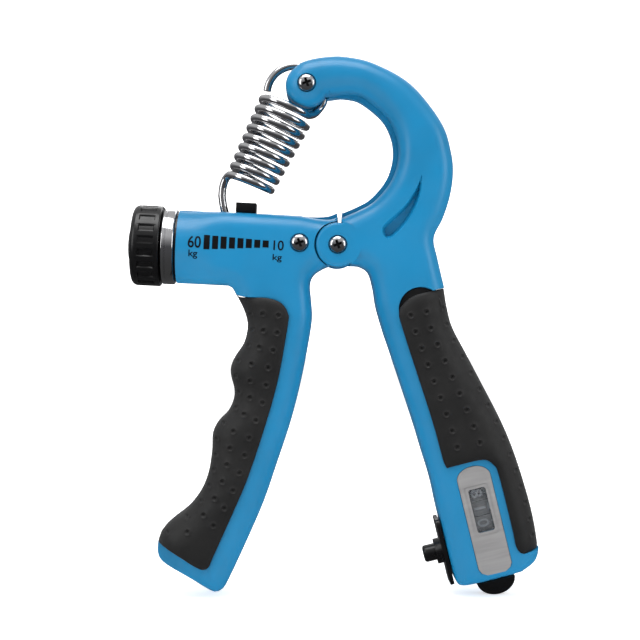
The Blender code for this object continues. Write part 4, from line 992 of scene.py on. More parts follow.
def wire(name, path, radius=SPRING_WIRE_RADIUS, sides=WIRE_SIDES):
    """Round wire along a path of points, closed flat at both ends."""
    work = bmesh.new()
    points = [Vector(p) for p in path]
    tangents = []
    for i in range(len(points)):
        ahead = points[min(i + 1, len(points) - 1)]
        back = points[max(i - 1, 0)]
        tangents.append((ahead - back).normalized())
    across = tangents[0].orthogonal().normalized()
    loops = []
    for i, point in enumerate(points):
        if i:
            across = tangents[i - 1].rotation_difference(tangents[i]) @ across
        other = tangents[i].cross(across)
        loops.append([work.verts.new(point + radius * (math.cos(t) * across
                                                       + math.sin(t) * other))
                      for t in (2 * math.pi * k / sides for k in range(sides))])
    for one, two in zip(loops, loops[1:]):
        for k in range(sides):
            n = (k + 1) % sides
            work.faces.new((one[k], one[n], two[n], two[k]))
    work.faces.new(loops[0])
    work.faces.new(list(reversed(loops[-1])))
    return mesh_from_bmesh(name, work)


def cutter(mesh, place, look):
    """Hidden tool for a cut."""
    obj = add_object(mesh.name, mesh, look, place)
    obj.hide_render = True
    return obj


def mount(obj, body, slot, *nodes):
    """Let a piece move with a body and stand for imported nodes."""
    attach(obj, body)
    if nodes:
        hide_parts(*nodes)
    return obj


# ---------------------------------------------------------------- handle outlines


def arm_opening():
    """Inner edge of the C arm, from the gap at the pivot up to the nose."""
    return spline(scaled([(2.8, 113.7), (7.0, 115.5), (11.2, 117.9), (15.4, 122.7),
                          (17.5, 127.5), (18.1, 132.3), (17.2, 137.1), (14.5, 141.9),
                          (8.5, 146.8), (4.0, 148.1), (-2.1, 148.3)]))


def lip_line(edge, runs_out_at_start=False):
    """Where the round of the face starts beside a thin lip that runs out at one end."""
    end = edge[0] if runs_out_at_start else edge[-1]
    moved = offset_points(edge, -LIP_WIDTH, False)
    line = []
    for point, far in zip(edge, moved):
        share = min(1.0, math.dist(point, end) / LIP_RUN_OUT)
        line.append((point[0] + (far[0] - point[0]) * share,
                     point[1] + (far[1] - point[1]) * share))
    return line


def lip_area(edge, runs_out_at_start=False):
    """Strip between an edge and its lip line."""
    line = lip_line(edge, runs_out_at_start)
    return closed(edge, list(reversed(line)))


def arm_outside():
    """Outer edge of the C arm, from the nose round to the waist."""
    return spline(scaled([(-11.7, 156.1), (-9.5, 157.9), (-6.4, 159.0), (-1.0, 159.8),
                          (4.0, 159.7), (11.3, 158.1), (20.4, 153.6), (26.5, 148.1),
                          (32.6, 139.4), (35.0, 131.5), (35.6, 125.4), (34.7, 118.7),
                          (32.6, 112.1), (29.9, 106.2), (31.0, 100.0), (33.0, 91.4)]))


def right_grip_outside():
    """Outer side of the right grip, from the top down."""
    return spline(scaled([(33.0, 91.4), (33.8, 86.1), (35.5, 79.8), (39.5, 72.1),
                          (43.7, 64.1), (49.4, 53.1), (53.2, 44.3), (56.8, 33.5),
                          (59.4, 23.7), (60.9, 14.9)]))


def right_bottom():
    """Lower end of the right handle, from the outer side to the inner."""
    return spline(scaled([(60.9, 14.9), (60.5, 12.4), (59.3, 10.2), (56.6, 8.1),
                          (54.4, 7.1), (42.8, 4.1), (38.6, 3.4), (37.2, 3.7),
                          (36.4, 4.8)]))


def right_inside():
    """Inner edge of the right handle, from the bottom up to the neck."""
    return spline(scaled([(36.4, 4.8), (35.1, 9.1), (31.2, 25.5), (29.2, 34.4),
                          (26.5, 43.3), (23.8, 52.2), (17.9, 70.0), (14.9, 78.9),
                          (12.9, 86.0), (12.0, 91.5), (10.5, 96.2), (7.6, 98.0),
                          (4.65, 98.37)]))


def core_side(side, first, last):
    """Edge of the hard core under a grip, with the steps at the grip's ends."""
    edge = offset_points(side, -(GRIP_THICKNESS + FIT_GAP), False)
    return scaled([first]) + edge[1:-1] + scaled([last])


def right_outline():
    """Whole right shell with its core under the grip."""
    side = core_side(right_grip_outside(), (30.3, 90.85), (57.9, 14.05))
    return closed(arm_opening(), arc(ANCHOR, NOSE_RADIUS, -30, -230), arm_outside(),
                  side, right_bottom(), right_inside(), knuckle())


def right_face_edge():
    """Edge that the right handle's rounding follows: no lip, and out over the grip."""
    return closed(lip_line(arm_opening()), arc(ANCHOR, NOSE_RADIUS, -30, -230),
                  arm_outside(), right_grip_outside(), right_bottom(), right_inside(),
                  knuckle())


def right_grip_region():
    """Where the right grip covers the shell, open-ended over the outer side."""
    face = spline(scaled([(33.0, 91.4), (28.7, 90.4), (23.4, 88.9), (20.3, 86.3),
                          (19.3, 83.9), (20.6, 78.4), (28.9, 52.7), (32.0, 41.4),
                          (33.2, 38.6)]))
    step = spline(scaled([(33.2, 38.6), (37.4, 39.7), (41.5, 40.7), (44.6, 41.0),
                          (46.9, 39.5), (48.4, 36.6), (52.3, 21.1), (53.5, 15.6),
                          (55.3, 13.6), (57.6, 14.0), (60.9, 14.9)]))
    return face + step[1:]


def barrel_edges():
    """Top edge of the barrel from the ring to the tip beside the pivot."""
    high = BARREL_HALF_HEIGHT
    top = to_plane(barrel_frame(), [(BARREL_START, high), (SLOT_START, high),
                                    (FLAT_START, high), (SLOT_END, high)])
    tip = spline(scaled([(-9.5, 112.75), (-4.0, 112.6), (-1.0, 112.9), (1.3, 113.8)]))
    return top, tip


def left_inside():
    """Inner edge of the left handle, from the tongue down to the corner."""
    return spline(scaled([(-1.2, 97.9), (-3.0, 97.2), (-5.7, 95.3), (-6.8, 92.4),
                          (-6.4, 87.0), (-6.2, 82.5), (-7.1, 76.0), (-9.4, 64.1),
                          (-12.4, 52.2), (-16.3, 40.3), (-20.4, 28.4), (-25.5, 16.6),
                          (-31.1, 4.7), (-33.0, 2.1), (-34.6, 1.5)]))


def left_bottom():
    """Lower end of the left handle, from the inner side to the outer."""
    return spline(scaled([(-34.6, 1.5), (-36.0, 1.9), (-41.5, 4.7), (-47.2, 7.7),
                          (-50.9, 10.3), (-52.1, 12.8), (-52.0, 16.2)]))


def left_grip_outside():
    """Finger side of the left grip, from the bottom up."""
    return spline(scaled([(-52.0, 16.2), (-50.7, 19.6), (-47.8, 22.5), (-43.9, 25.5),
                          (-41.2, 28.4), (-38.5, 32.6), (-36.8, 37.4), (-35.9, 43.3),
                          (-35.6, 48.6), (-33.8, 52.2), (-31.1, 55.0), (-29.5, 58.4),
                          (-29.3, 61.6), (-30.2, 65.2), (-30.3, 68.0), (-29.0, 71.2),
                          (-26.5, 75.0), (-25.4, 79.0), (-25.5, 82.0), (-26.6, 85.4),
                          (-28.6, 89.3)]))


def left_edge_with(tip, side):
    """Left handle's edge with a given barrel tip and finger side."""
    top = barrel_edges()[0]
    low = -BARREL_HALF_HEIGHT
    bottom = to_plane(barrel_frame(), [(0.0285, low), (0.0210, low),
                                       (BARREL_START, low)])
    throat = spline(scaled([(-28.6, 89.3), (-29.8, 91.4)]) + bottom[:1])
    return closed(top, tip, scaled([(1.5, 112.0)]),
                  arc(PIVOT, TONGUE_RADIUS, 88, -112),
                  left_inside(), left_bottom(), side, throat, bottom)


def left_outline():
    """Whole left shell with its round tongue at the pivot and its core."""
    side = core_side(left_grip_outside(), (-49.4, 15.25), (-24.9, 88.5))
    return left_edge_with(barrel_edges()[1], side)


def left_face_edge():
    """Edge that the left handle's rounding follows: no lip, and out over the grip."""
    return left_edge_with(lip_line(barrel_edges()[1], True), left_grip_outside())


def left_grip_region():
    """Where the left grip covers the shell, from the top down."""
    return spline(scaled([(-28.6, 89.3), (-26.9, 88.7), (-19.0, 88.3), (-14.9, 86.7),
                          (-13.1, 83.7), (-13.1, 80.8), (-15.9, 65.1), (-19.6, 51.6),
                          (-24.9, 35.7), (-29.0, 26.0), (-35.2, 12.2), (-36.3, 9.7),
                          (-37.9, 8.9), (-40.4, 9.8), (-45.5, 13.0), (-50.3, 15.6),
                          (-52.0, 16.2)]))


# ---------------------------------------------------------------- handle shells


def grip_top(side, face_edge):
    """Height of a grip: full round over its outer side, a low step at its face edge."""
    body = pillow(side, GRIP_HALF_DEPTH, GRIP_EDGE_RADIUS, is_closed=False)

    def height(plane):
        reach = np.clip(distance_to(plane, face_edge, False) / GRIP_BLEND, 0.0, 1.0)
        return body(plane) - GRIP_EDGE_DROP * (1.0 - np.sqrt(1.0 - (1.0 - reach) ** 2))
    return height


def grip_seat(side):
    """Height of the hard core that a grip sits on."""
    body = pillow(side, GRIP_HALF_DEPTH, GRIP_EDGE_RADIUS, is_closed=False)
    return lambda plane: body(plane) - GRIP_THICKNESS - FIT_GAP


def right_face():
    """Rounded along every edge except round the pivot."""
    edge = [p for p in right_face_edge() if math.dist(p, PIVOT) > SQUARE_RADIUS]
    return pillow(edge, SHELL_HALF_DEPTH, SHELL_EDGE_RADIUS, is_closed=False)


def knuckle():
    """Round end of the pivot cheek."""
    return arc(PIVOT, CHEEK_RADIUS, -60, -280)


def cheek_plate(plane, layers):
    """Change: a flat cheek beside the tongue, with a small round at its end."""
    height = pillow(knuckle(), SHELL_HALF_DEPTH, KNUCKLE_ROUND, is_closed=False)
    return [(np.full(len(plane), CHEEK_INNER_DEPTH), height(plane))]


def teardrop():
    """Outline of the recess on the C arm."""
    return closed(spline(scaled([(26.3, 126.7), (24.9, 121.7), (21.3, 115.8),
                                 (15.9, 110.7), (14.4, 109.0)])),
                  spline(scaled([(14.4, 109.0), (14.6, 106.9), (16.8, 105.8),
                                 (21.9, 111.0), (25.4, 118.2), (26.3, 126.7)])))


def shell_base(face):
    """Layers of a half shell before its changes."""
    return lambda plane: [(np.full(len(plane), PARTING_HALF_GAP), face(plane))]


def left_face():
    """The barrel is round at its ring end and flattens towards the pivot."""
    flat = pillow(left_face_edge(), SHELL_HALF_DEPTH, LEFT_EDGE_RADIUS)
    barrel = trough(BARREL_FACE, BARREL_TILT, BARREL_RADIUS)

    def height(plane):
        along = ((plane[:, 0] - BARREL_FACE[0]) * math.cos(BARREL_TILT)
                 - (plane[:, 1] - BARREL_FACE[1]) * math.sin(BARREL_TILT))
        reach = np.clip((along - ROUND_END) / (FLAT_START - ROUND_END), 0.0, 1.0)
        share = eased(reach)
        above = np.maximum(barrel(plane), THIN_EDGE)
        return share * flat(plane) + (1.0 - share) * above
    return height


def counter_rooms():
    """Changes for the counter's case, button neck and shaft inside the handle."""
    case = rectangle(counter_frame(), *CASE_ROOM)
    neck = rectangle(counter_frame(down=BUTTON_DROP), *NECK_ROOM)
    shaft = rectangle(counter_frame(), *SHAFT_ROOM)
    return [(case, carve_below(level(CASE_HALF_DEPTH + FIT_GAP))),
            (neck, carve_below(level(NECK_HALF_DEPTH + FIT_GAP))),
            (shaft, carve_below(level(SHAFT_RADIUS + FIT_GAP)))]


def screw_seat(point, bore):
    """Changes for a sunk head seat and its through hole."""
    return [(circle(point, SCREW_HEAD_RADIUS + FIT_GAP), sink(HEAD_RECESS)),
            (circle(point, bore), hole)]


def right_shell(node, facing):
    """One half of the right handle: C arm, pivot cheek and grip core."""
    face_edge = right_face_edge()
    recess = teardrop()
    covered = closed(right_grip_region(), scaled([(75.0, 14.9), (75.0, 91.4)]))
    changes = [(lip_area(arm_opening()), carve_above(level(LIP_HALF_DEPTH))),
               (covered, carve_above(grip_seat(right_grip_outside()))),
               (circle(LOOP_CENTRE, LOOP_SPACE_RADIUS),
                carve_below(level(LOOP_HALF_SPACE))),
               (circle(ANCHOR, LOOP_SPACE_NEAR_RADIUS),
                carve_below(level(LOOP_HALF_SPACE))),
               (circle(PIVOT, CHEEK_RADIUS + CLEARANCE), cheek_plate),
               (recess, scoop(recess, TEARDROP_DEPTH, TEARDROP_RUN)),
               (circle(LEDGE_CENTRE, LEDGE_RADIUS), sink(LEDGE_POCKET))]
    changes += counter_rooms()
    for point in (PIVOT, ANCHOR):
        changes += screw_seat(point, SLEEVE_RADIUS + SLEEVE_CLEARANCE)
    if facing < 0:
        changes += [(to_plane(counter_frame(), label_outline(FIT_GAP / 2)),
                     carve_above(level(LABEL_SEAT))),
                    (to_plane(counter_frame(), window_outline(FIT_GAP)), hole)]
    extra = rounding_rings(face_edge, SHELL_EDGE_RADIUS)
    extra += staggered_points(face_edge, SHELL_EDGE_RADIUS, FACE_PITCH)
    for share in (0.25, 0.5, 0.75, 1.0):
        extra += inset(recess, TEARDROP_RUN * share)
    mesh = layered_solid("fine_" + node, right_outline(), shell_base(right_face()),
                         changes, extra, facing)
    shell = add_object("fine_" + node, mesh, looks["blue_plastic"], smooth_angle=34)
    mount(shell, "right_handle", "blue_plastic", node)


def barrel_points():
    """Points over the barrel, closer together where its face turns away."""
    points = []
    for k in range(1, BARREL_GRID_ROWS + 1):
        along = BARREL_START + BARREL_PITCH * k
        for turn in range(-BARREL_GRID_REACH, BARREL_GRID_REACH + 1, BARREL_GRID_TURN):
            points.append((along, BARREL_RADIUS * math.sin(math.radians(turn))))
    return to_plane(barrel_frame(), points)


def left_shell(node, facing):
    """One half of the left handle: barrel, pivot tongue and grip core."""
    face_edge = left_face_edge()
    covered = closed(left_grip_region(), scaled([(-70.0, 16.3), (-70.0, 89.3)]))
    channel = rectangle(barrel_frame(), (CHANNEL_START, -CHANNEL_RADIUS),
                        (CHANNEL_END, CHANNEL_RADIUS))
    rod_space = rectangle(barrel_frame(), (ROD_SPACE_START, -ROD_SPACE),
                          (ROD_SPACE_END, ROD_SPACE))
    slot = rectangle(barrel_frame(), (SLOT_START, SLOT_FLOOR), (SLOT_END, SLOT_TOP))
    changes = [(lip_area(barrel_edges()[1], True), carve_above(level(LIP_HALF_DEPTH))),
               (covered, carve_above(grip_seat(left_grip_outside()))),
               (channel, carve_below(trough(BARREL_FACE, BARREL_TILT, CHANNEL_RADIUS))),
               (rod_space, carve_below(trough(BARREL_FACE, BARREL_TILT, ROD_SPACE))),
               (slot, carve_below(level(SLOT_HALF_WIDTH))),
               (circle(PIVOT, CHEEK_RADIUS + CLEARANCE),
                carve_above(level(TONGUE_HALF_DEPTH))),
               (circle(PIVOT, BUSH_RADIUS + SLEEVE_CLEARANCE), hole)]
    changes += screw_seat(BARREL_SCREW, SLEEVE_RADIUS + SLEEVE_CLEARANCE)
    extra = rounding_rings(face_edge, LEFT_EDGE_RADIUS)
    to_barrel = barrel_frame().inverted()
    for point in staggered_points(face_edge, LEFT_EDGE_RADIUS, FACE_PITCH):
        local = to_barrel @ Vector((point[0], 0.0, point[1]))
        if local.x > BARREL_START + BARREL_GRID_LENGTH or local.z < -BARREL_HALF_HEIGHT:
            extra.append(point)
    extra += barrel_points()
    mesh = layered_solid("fine_" + node, left_outline(), shell_base(left_face()),
                         changes, extra, facing)
    shell = add_object("fine_" + node, mesh, looks["blue_plastic"], smooth_angle=34)
    mount(shell, "left_handle", "blue_plastic", node)


def grip_ledge(name, back):
    """Round rubber ledge in its pocket, half under the top end of the right grip."""
    low = SHELL_HALF_DEPTH - LEDGE_POCKET + PRINT_PROUD
    radius = LEDGE_RADIUS - FIT_GAP / 2
    profile = [(0.0, LEDGE_HALF_DEPTH)]
    profile += quarter(radius - LEDGE_ROUND, LEDGE_HALF_DEPTH - LEDGE_ROUND,
                       LEDGE_ROUND, 90, 0)
    profile += [(radius, low), (0.0, low)]
    ledge = add_object(name, lathe(name, profile), looks["grip_rubber"],
                       depth_frame(LEDGE_CENTRE, back), 40)
    mount(ledge, "right_handle", "grip_rubber")


# ---------------------------------------------------------------- grips


def sideways(curve, direction):
    """Sign of the offset that moves a curve towards +X or -X."""
    rises = curve[-1][1] > curve[0][1]
    return -direction if rises else direction


def crossing(curve, z):
    """X where an open curve first passes a height."""
    for a, b in zip(curve, curve[1:]):
        if min(a[1], b[1]) <= z < max(a[1], b[1]):
            return a[0] + (b[0] - a[0]) * (z - a[1]) / (b[1] - a[1])
    return None


def dimple_centres(region, side, inward, columns):
    """Centres of the columns of dimples, each a top, a count, a step and a place.

    The place is the share of the way from the face edge to the outer side, or
    for the outermost column its distance from that side.
    """
    outer = offset_points(side, DIMPLE_EDGE * sideways(side, inward), False)
    centres = []
    for top, count, step, share in columns:
        for k in range(count):
            z = top - step * k
            near, far = crossing(region, z), crossing(outer, z)
            if near is None or far is None:
                continue
            centres.append((far if share is None else near + share * (far - near), z))
    return centres


def dimple_relief(centres):
    """Height change of a field of small craters, each with a raised rim."""
    def change(plane):
        rise = np.zeros(len(plane))
        for x, z in centres:
            reach = np.hypot(plane[:, 0] - x, plane[:, 1] - z)
            bowl = np.clip(1.0 - (reach / DIMPLE_RADIUS) ** 2, 0.0, 1.0)
            rim = np.exp(-((reach - DIMPLE_RIM_RADIUS) / DIMPLE_RIM_WIDTH) ** 2)
            rise += DIMPLE_RIM * rim - DIMPLE_DEPTH * bowl ** 1.5
        return rise
    return change


def dimple_points(centres):
    """Rings of points over and round each dimple."""
    points = list(centres)
    for centre in centres:
        for share, count in DIMPLE_RING_SIZES:
            points += circle(centre, DIMPLE_RADIUS * share, count)
    return points


def wrapped_grip(node, body, region, side, inward, columns):
    """Soft dimpled grip that wraps the outer side of a handle from front to back.

    region is the edge of the grip on the face and side its edge on the outer
    side, both open; inward is the direction of the handle's middle in X.
    """
    if math.dist(region[0], side[0]) < math.dist(region[0], side[-1]):
        side = list(reversed(side))
    face_edge = offset_points(region, GRIP_SEAM * sideways(region, -inward), False)
    clear_side = [p for p, gap in zip(side, distance_to(side, region, False))
                  if gap > GRIP_SEAM]
    outline = closed(face_edge, clear_side)
    centres = dimple_centres(region, side, inward, columns)
    kept = inside(centres, outline) & (distance_to(centres, outline) > DIMPLE_RIM_RADIUS)
    centres = [centre for centre, keep in zip(centres, kept) if keep]
    smooth_top = grip_top(side, region)
    dimples = dimple_relief(centres)
    seat = grip_seat(side)

    def around(plane):
        top = smooth_top(plane) - DIMPLE_RIM + dimples(plane)
        return [(-top, top)]

    def over_core(plane, layers):
        inner = seat(plane) + FIT_GAP
        return [(low, -inner) for low, _ in layers] + [(inner, high) for _, high in layers]

    depth = GRIP_THICKNESS * sideways(side, inward)
    cover_edge = past_ends(offset_points(side, depth, False), END_REACH)
    overlap = closed(cover_edge, [(x + HANDLE_REACH * inward, z)
                                  for x, z in reversed(cover_edge)])
    extra = rounding_rings(outline, GRIP_BLEND)
    extra += staggered_points(outline, GRIP_BLEND / 4, GRIP_PITCH)
    apart = np.min([np.hypot(np.array(extra)[:, 0] - x, np.array(extra)[:, 1] - z)
                    for x, z in centres], axis=0)
    extra = [p for p, gap in zip(extra, apart) if gap > DIMPLE_MARGIN]
    extra += dimple_points(centres)
    extra = [p for p, keep in zip(extra, inside(extra, outline)) if keep]
    mesh = layered_solid("fine_" + node, outline, around, [(overlap, over_core)], extra)
    grip = add_object("fine_" + node, mesh, looks["grip_rubber"], smooth_angle=42)
    mount(grip, body, "grip_rubber", node)


# ---------------------------------------------------------------- counter


def label_outline(grow=0.0):
    """Plate with a rounded top and chamfered lower corners, about the window."""
    half = LABEL_HALF_WIDTH + grow
    top = [(half * math.cos(math.radians(a)), LABEL_TOP - LABEL_CROWN
            + (LABEL_CROWN + grow) * math.sin(math.radians(a)))
           for a in range(0, 181, 6)]
    low = LABEL_BOTTOM - grow
    corner = [(half - LABEL_CHAMFER, low), (half - LABEL_CHAMFER_X, low + LABEL_CHAMFER_Z),
              (half, low + LABEL_CHAMFER)]
    return top + [(-x, z) for x, z in reversed(corner)] + corner


def window_outline(grow=0.0):
    """Rounded opening over the wheels."""
    return rounded_rectangle(WINDOW_HALF_WIDTH + grow, -WINDOW_HALF_LENGTH - grow,
                             WINDOW_HALF_LENGTH + grow, WINDOW_CORNER)


def counter_label():
    """Silver plate with a raised frame round its window."""
    def base(plane):
        return [(np.full(len(plane), LABEL_SEAT + LABEL_LIFT),
                 np.full(len(plane), LABEL_TOP_DEPTH))]

    mesh = layered_solid("fine_counter_label", label_outline(), base,
                         [(window_outline(WINDOW_FRAME), sink(WINDOW_FRAME_DEPTH)),
                          (window_outline(WINDOW_FRAME_RIDGE), sink(-WINDOW_FRAME_DEPTH)),
                          (window_outline(), hole)])
    label = add_object("fine_counter_label", mesh, looks["silver_label"], counter_frame())
    soften(label, 0.00008, 2, limit=50)
    mount(label, "right_handle", "silver_label", "counter_label")


def reset_knob():
    """Half-oval thumb piece under the handle."""
    half, drop = RESET_HALF_WIDTH, RESET_DROP
    outline = [(half * math.cos(math.radians(a)), -drop * math.sin(math.radians(a)))
               for a in range(0, 181, 5)]
    mesh = prism("fine_reset_knob", outline, -RESET_HALF_THICK, RESET_HALF_THICK)
    knob = add_object("fine_reset_knob", mesh, looks["black_plastic"],
                      counter_frame(0.0, RESET_TOP))
    soften(knob, RESET_ROUND, 4, limit=40)
    mount(knob, "reset", "black_plastic", "reset_knob")


def figure_sheet(words, low, high):
    """Flat generic figures in X and Z, fitted between two corners, in small pieces."""
    curve = bpy.data.curves.new("figures", "FONT")
    curve.body = words
    curve.fill_mode = "FRONT"
    curve.offset = FIGURE_BOLDNESS
    holder = bpy.data.objects.new("figures", curve)
    bpy.context.scene.collection.objects.link(holder)
    bpy.context.view_layer.update()
    graph = bpy.context.evaluated_depsgraph_get()
    flat = bpy.data.meshes.new_from_object(holder.evaluated_get(graph))
    bpy.data.objects.remove(holder, do_unlink=True)
    sheet = bmesh.new()
    sheet.from_mesh(flat)
    cut_small(sheet)
    xs = [v.co.x for v in sheet.verts]
    ys = [v.co.y for v in sheet.verts]
    for v in sheet.verts:
        across = (v.co.x - min(xs)) / (max(xs) - min(xs))
        up = (v.co.y - min(ys)) / (max(ys) - min(ys))
        v.co = (low[0] + across * (high[0] - low[0]), 0.0, low[1] + up * (high[1] - low[1]))
    return sheet


def cut_small(sheet):
    """Divide a flat sheet until no edge is much longer than a piece."""
    for _ in range(5):
        bmesh.ops.triangulate(sheet, faces=sheet.faces)
        long_edges = [e for e in sheet.edges if e.calc_length() > FIGURE_PIECE]
        if not long_edges:
            break
        bmesh.ops.subdivide_edges(sheet, edges=long_edges, cuts=1)


def slab(name, sheet, outer, inner):
    """Closed thin solid over a flat sheet; the two functions give its two sides."""
    work = bmesh.new()
    top = {v: work.verts.new(outer(v)) for v in sheet.verts}
    low = {v: work.verts.new(inner(v)) for v in sheet.verts}
    covered = set()
    for face in sheet.faces:
        corners = list(face.verts)
        if frozenset(corners) in covered:
            continue
        covered.add(frozenset(corners))
        work.faces.new([top[v] for v in corners])
        work.faces.new([low[v] for v in reversed(corners)])
    for edge in sheet.edges:
        if len(edge.link_faces) == 1:
            a, b = edge.verts
            work.faces.new((top[a], low[a], low[b], top[b]))
    sheet.free()
    return mesh_from_bmesh(name, work)


def wheel_figures(name, body, place, shown):
    """Ten moulded digits round a counter wheel, the shown one at the window."""
    middle = (1 - place) * WHEEL_PITCH
    half_high = DIGIT_HEIGHT / 2
    pieces = []
    for digit in range(10):
        half_wide = DIGIT_WIDTH / 2 * (ONE_WIDTH if digit == 1 else 1.0)
        sheet = figure_sheet(str(digit), (-half_wide, -half_high), (half_wide, half_high))
        turn = 2 * math.pi * (digit - shown) / 10

        def on_drum(radius):
            def place_vertex(v):
                angle = turn + v.co.z / WHEEL_RADIUS
                along = middle + v.co.x
                return (radius * math.sin(angle), -radius * math.cos(angle), along)
            return place_vertex

        pieces.append(slab(name, sheet, on_drum(WHEEL_RADIUS + PRINT_PROUD),
                           on_drum(WHEEL_RADIUS - PRINT_SUNK)))
    figures = add_object(name, joined(name, pieces), looks["figure_grey"], counter_frame())
    mount(figures, body, "silver_label")


def joined(name, meshes):
    """One mesh that holds several."""
    work = bmesh.new()
    for mesh in meshes:
        work.from_mesh(mesh)
    whole = bpy.data.meshes.new(name)
    work.to_mesh(whole)
    work.free()
    return whole


# ---------------------------------------------------------------- printed scale


def laid_on_barrel(name, sheet):
    """Thin print over the barrel's front face, from a sheet in the barrel's frame."""
    place = barrel_frame()
    for v in sheet.verts:
        v.co = place @ v.co
    plane = np.array([(v.co.x, v.co.z) for v in sheet.verts])
    heights = left_face()(plane)
    sheet.verts.index_update()

    def at(extra):
        return lambda v: (v.co.x, -(heights[v.index] + extra), v.co.z)
    return slab(name, sheet, at(PRINT_PROUD), at(-PRINT_SUNK))


def bar_sheet(number):
    """One bar of the resistance scale; the bars get shorter towards the pivot."""
    share = number / (SCALE_BARS - 1)
    left = BAR_START + BAR_PITCH * number
    low, high = (first + (last - first) * share
                 for first, last in zip(FIRST_BAR, LAST_BAR))
    across, up = 3, 8
    sheet = bmesh.new()
    rows = [[sheet.verts.new((left + BAR_WIDTH * i / across, 0.0,
                              low + (high - low) * j / up))
             for i in range(across + 1)] for j in range(up + 1)]
    for one, two in zip(rows, rows[1:]):
        for k in range(across):
            sheet.faces.new((one[k], one[k + 1], two[k + 1], two[k]))
    return sheet


def printed_scale():
    """Resistance scale in kilograms, from strong at the ring to light at the pivot."""
    sheets = [bar_sheet(number) for number in range(SCALE_BARS)]
    sheets += [figure_sheet(words, low, high) for words, low, high in SCALE_WORDS]
    meshes = [laid_on_barrel("scale_mark", sheet) for sheet in sheets]
    scale = add_object("printed_scale", joined("printed_scale", meshes), looks["scale_ink"])
    mount(scale, "left_handle", "black_plastic")


# ---------------------------------------------------------------- screws


def front_screw(node, body, point):
    """Cross-recess pan-head screw, its domed head just below the face."""
    r = SCREW_HEAD_RADIUS
    seat = SHELL_HALF_DEPTH - HEAD_RECESS + HEAD_LIFT
    top = seat + HEAD_HEIGHT
    profile = [(0.0, top)]
    for k in range(1, DOME_STEPS + 1):
        turn = math.radians(90) * k / DOME_STEPS
        rise = (HEAD_HEIGHT - HEAD_EDGE) * math.cos(turn) ** 0.8
        profile.append((r * math.sin(turn) ** 0.85, seat + HEAD_EDGE + rise))
    profile += [(r, seat), (SCREW_RADIUS, seat), (SCREW_RADIUS, SCREW_END_DEPTH),
                (0.0, SCREW_END_DEPTH)]
    screw = add_object("fine_" + node, lathe("fine_" + node, profile, 48),
                       looks["chrome"], depth_frame(point))
    # The cut faces of the cross recess take the dark recess material: painted shade inside
    # the recess.
    for turn in RECESS_TURNS:
        blade = tapered_blade(top - RECESS_DEPTH, top + CLEARANCE)
        place = depth_frame(point) @ Matrix.Rotation(math.radians(turn), 4, "Z")
        cut_away(screw, [cutter(blade, place, looks["recess_painted_shade"])])
    screw.data.shade_smooth()
    screw.data.set_sharp_from_angle(angle=math.radians(40))
    mount(screw, body, "chrome", node)


def tapered_blade(low_z, high_z):
    """Blade that narrows towards its foot, as one arm pair of a cross recess."""
    work = bmesh.new()
    rings = []
    foot_width = RECESS_HALF_WIDTH * RECESS_TAPER
    for half, width, z in ((RECESS_FOOT, foot_width, low_z),
                           (RECESS_HALF_LENGTH, RECESS_HALF_WIDTH, high_z)):
        rings.append([work.verts.new((x * half, y * width, z))
                      for x, y in ((-1, -1), (1, -1), (1, 1), (-1, 1))])
    low, high = rings
    work.faces.new(list(reversed(low)))
    work.faces.new(high)
    for k in range(4):
        n = (k + 1) % 4
        work.faces.new((low[k], low[n], high[n], high[k]))
    return mesh_from_bmesh("blade", work)


# ---------------------------------------------------------------- adjuster


def pocketed_ring(radius, depth):
    """Ring of points with evenly spaced pockets of a given depth."""
    points = []
    for k in range(KNOB_POCKETS * POCKET_STEPS):
        share = k % POCKET_STEPS / POCKET_STEPS
        risen, fallen = (np.clip((share - start) / POCKET_SIDE, 0.0, 1.0)
                         for start in POCKET_SHARES)
        wall = risen - fallen
        angle = 2 * math.pi * k / (KNOB_POCKETS * POCKET_STEPS)
        r = radius - depth * eased(wall)
        points.append((r * math.cos(angle), r * math.sin(angle)))
    return points


def adjust_knob():
    """Knob with a rounded outer rim, a dish for its cap and a band of pockets."""
    r, rim = KNOB_RADIUS, KNOB_OUTER_RIM
    dish = CAP_RADIUS + CLEARANCE / 2
    dish_rim = quarter(0.0, DISH_EDGE, DISH_EDGE, 0, -90)
    outer_rim = quarter(r - rim, rim, rim, -75, 0, 8)
    inner_rim = quarter(r - KNOB_INNER_RIM, KNOB_LENGTH - KNOB_INNER_RIM, KNOB_INNER_RIM,
                        0, 90)
    sections = [(KNOB_BORE, KNOB_LENGTH, 0.0), (KNOB_BORE, DISH_FLOOR, 0.0),
                (dish, DISH_FLOOR, 0.0), (dish, DISH_EDGE, 0.0)]
    sections += [(dish + DISH_EDGE - x, z, 0.0) for x, z in dish_rim]
    sections += [(x, z, 0.0) for x, z in outer_rim]
    sections += [(r, POCKET_START, 0.0), (r, POCKET_START + POCKET_RAMP, POCKET_DEPTH),
                 (r, POCKET_END, POCKET_DEPTH), (r, POCKET_END + POCKET_RAMP, 0.0)]
    sections += [(x, z, 0.0) for x, z in inner_rim]
    work = bmesh.new()
    loops = [[work.verts.new((x, y, z)) for x, y in pocketed_ring(radius, depth)]
             for radius, z, depth in sections]
    for one, two in zip(loops, loops[1:] + loops[:1]):
        for k in range(len(one)):
            n = (k + 1) % len(one)
            work.faces.new((one[k], one[n], two[n], two[k]))
    knob = add_object("fine_adjust_knob", mesh_from_bmesh("fine_adjust_knob", work),
                      looks["black_plastic"], barrel_axis_frame(), 38)
    mount(knob, "knob", "black_plastic", "adjust_knob")


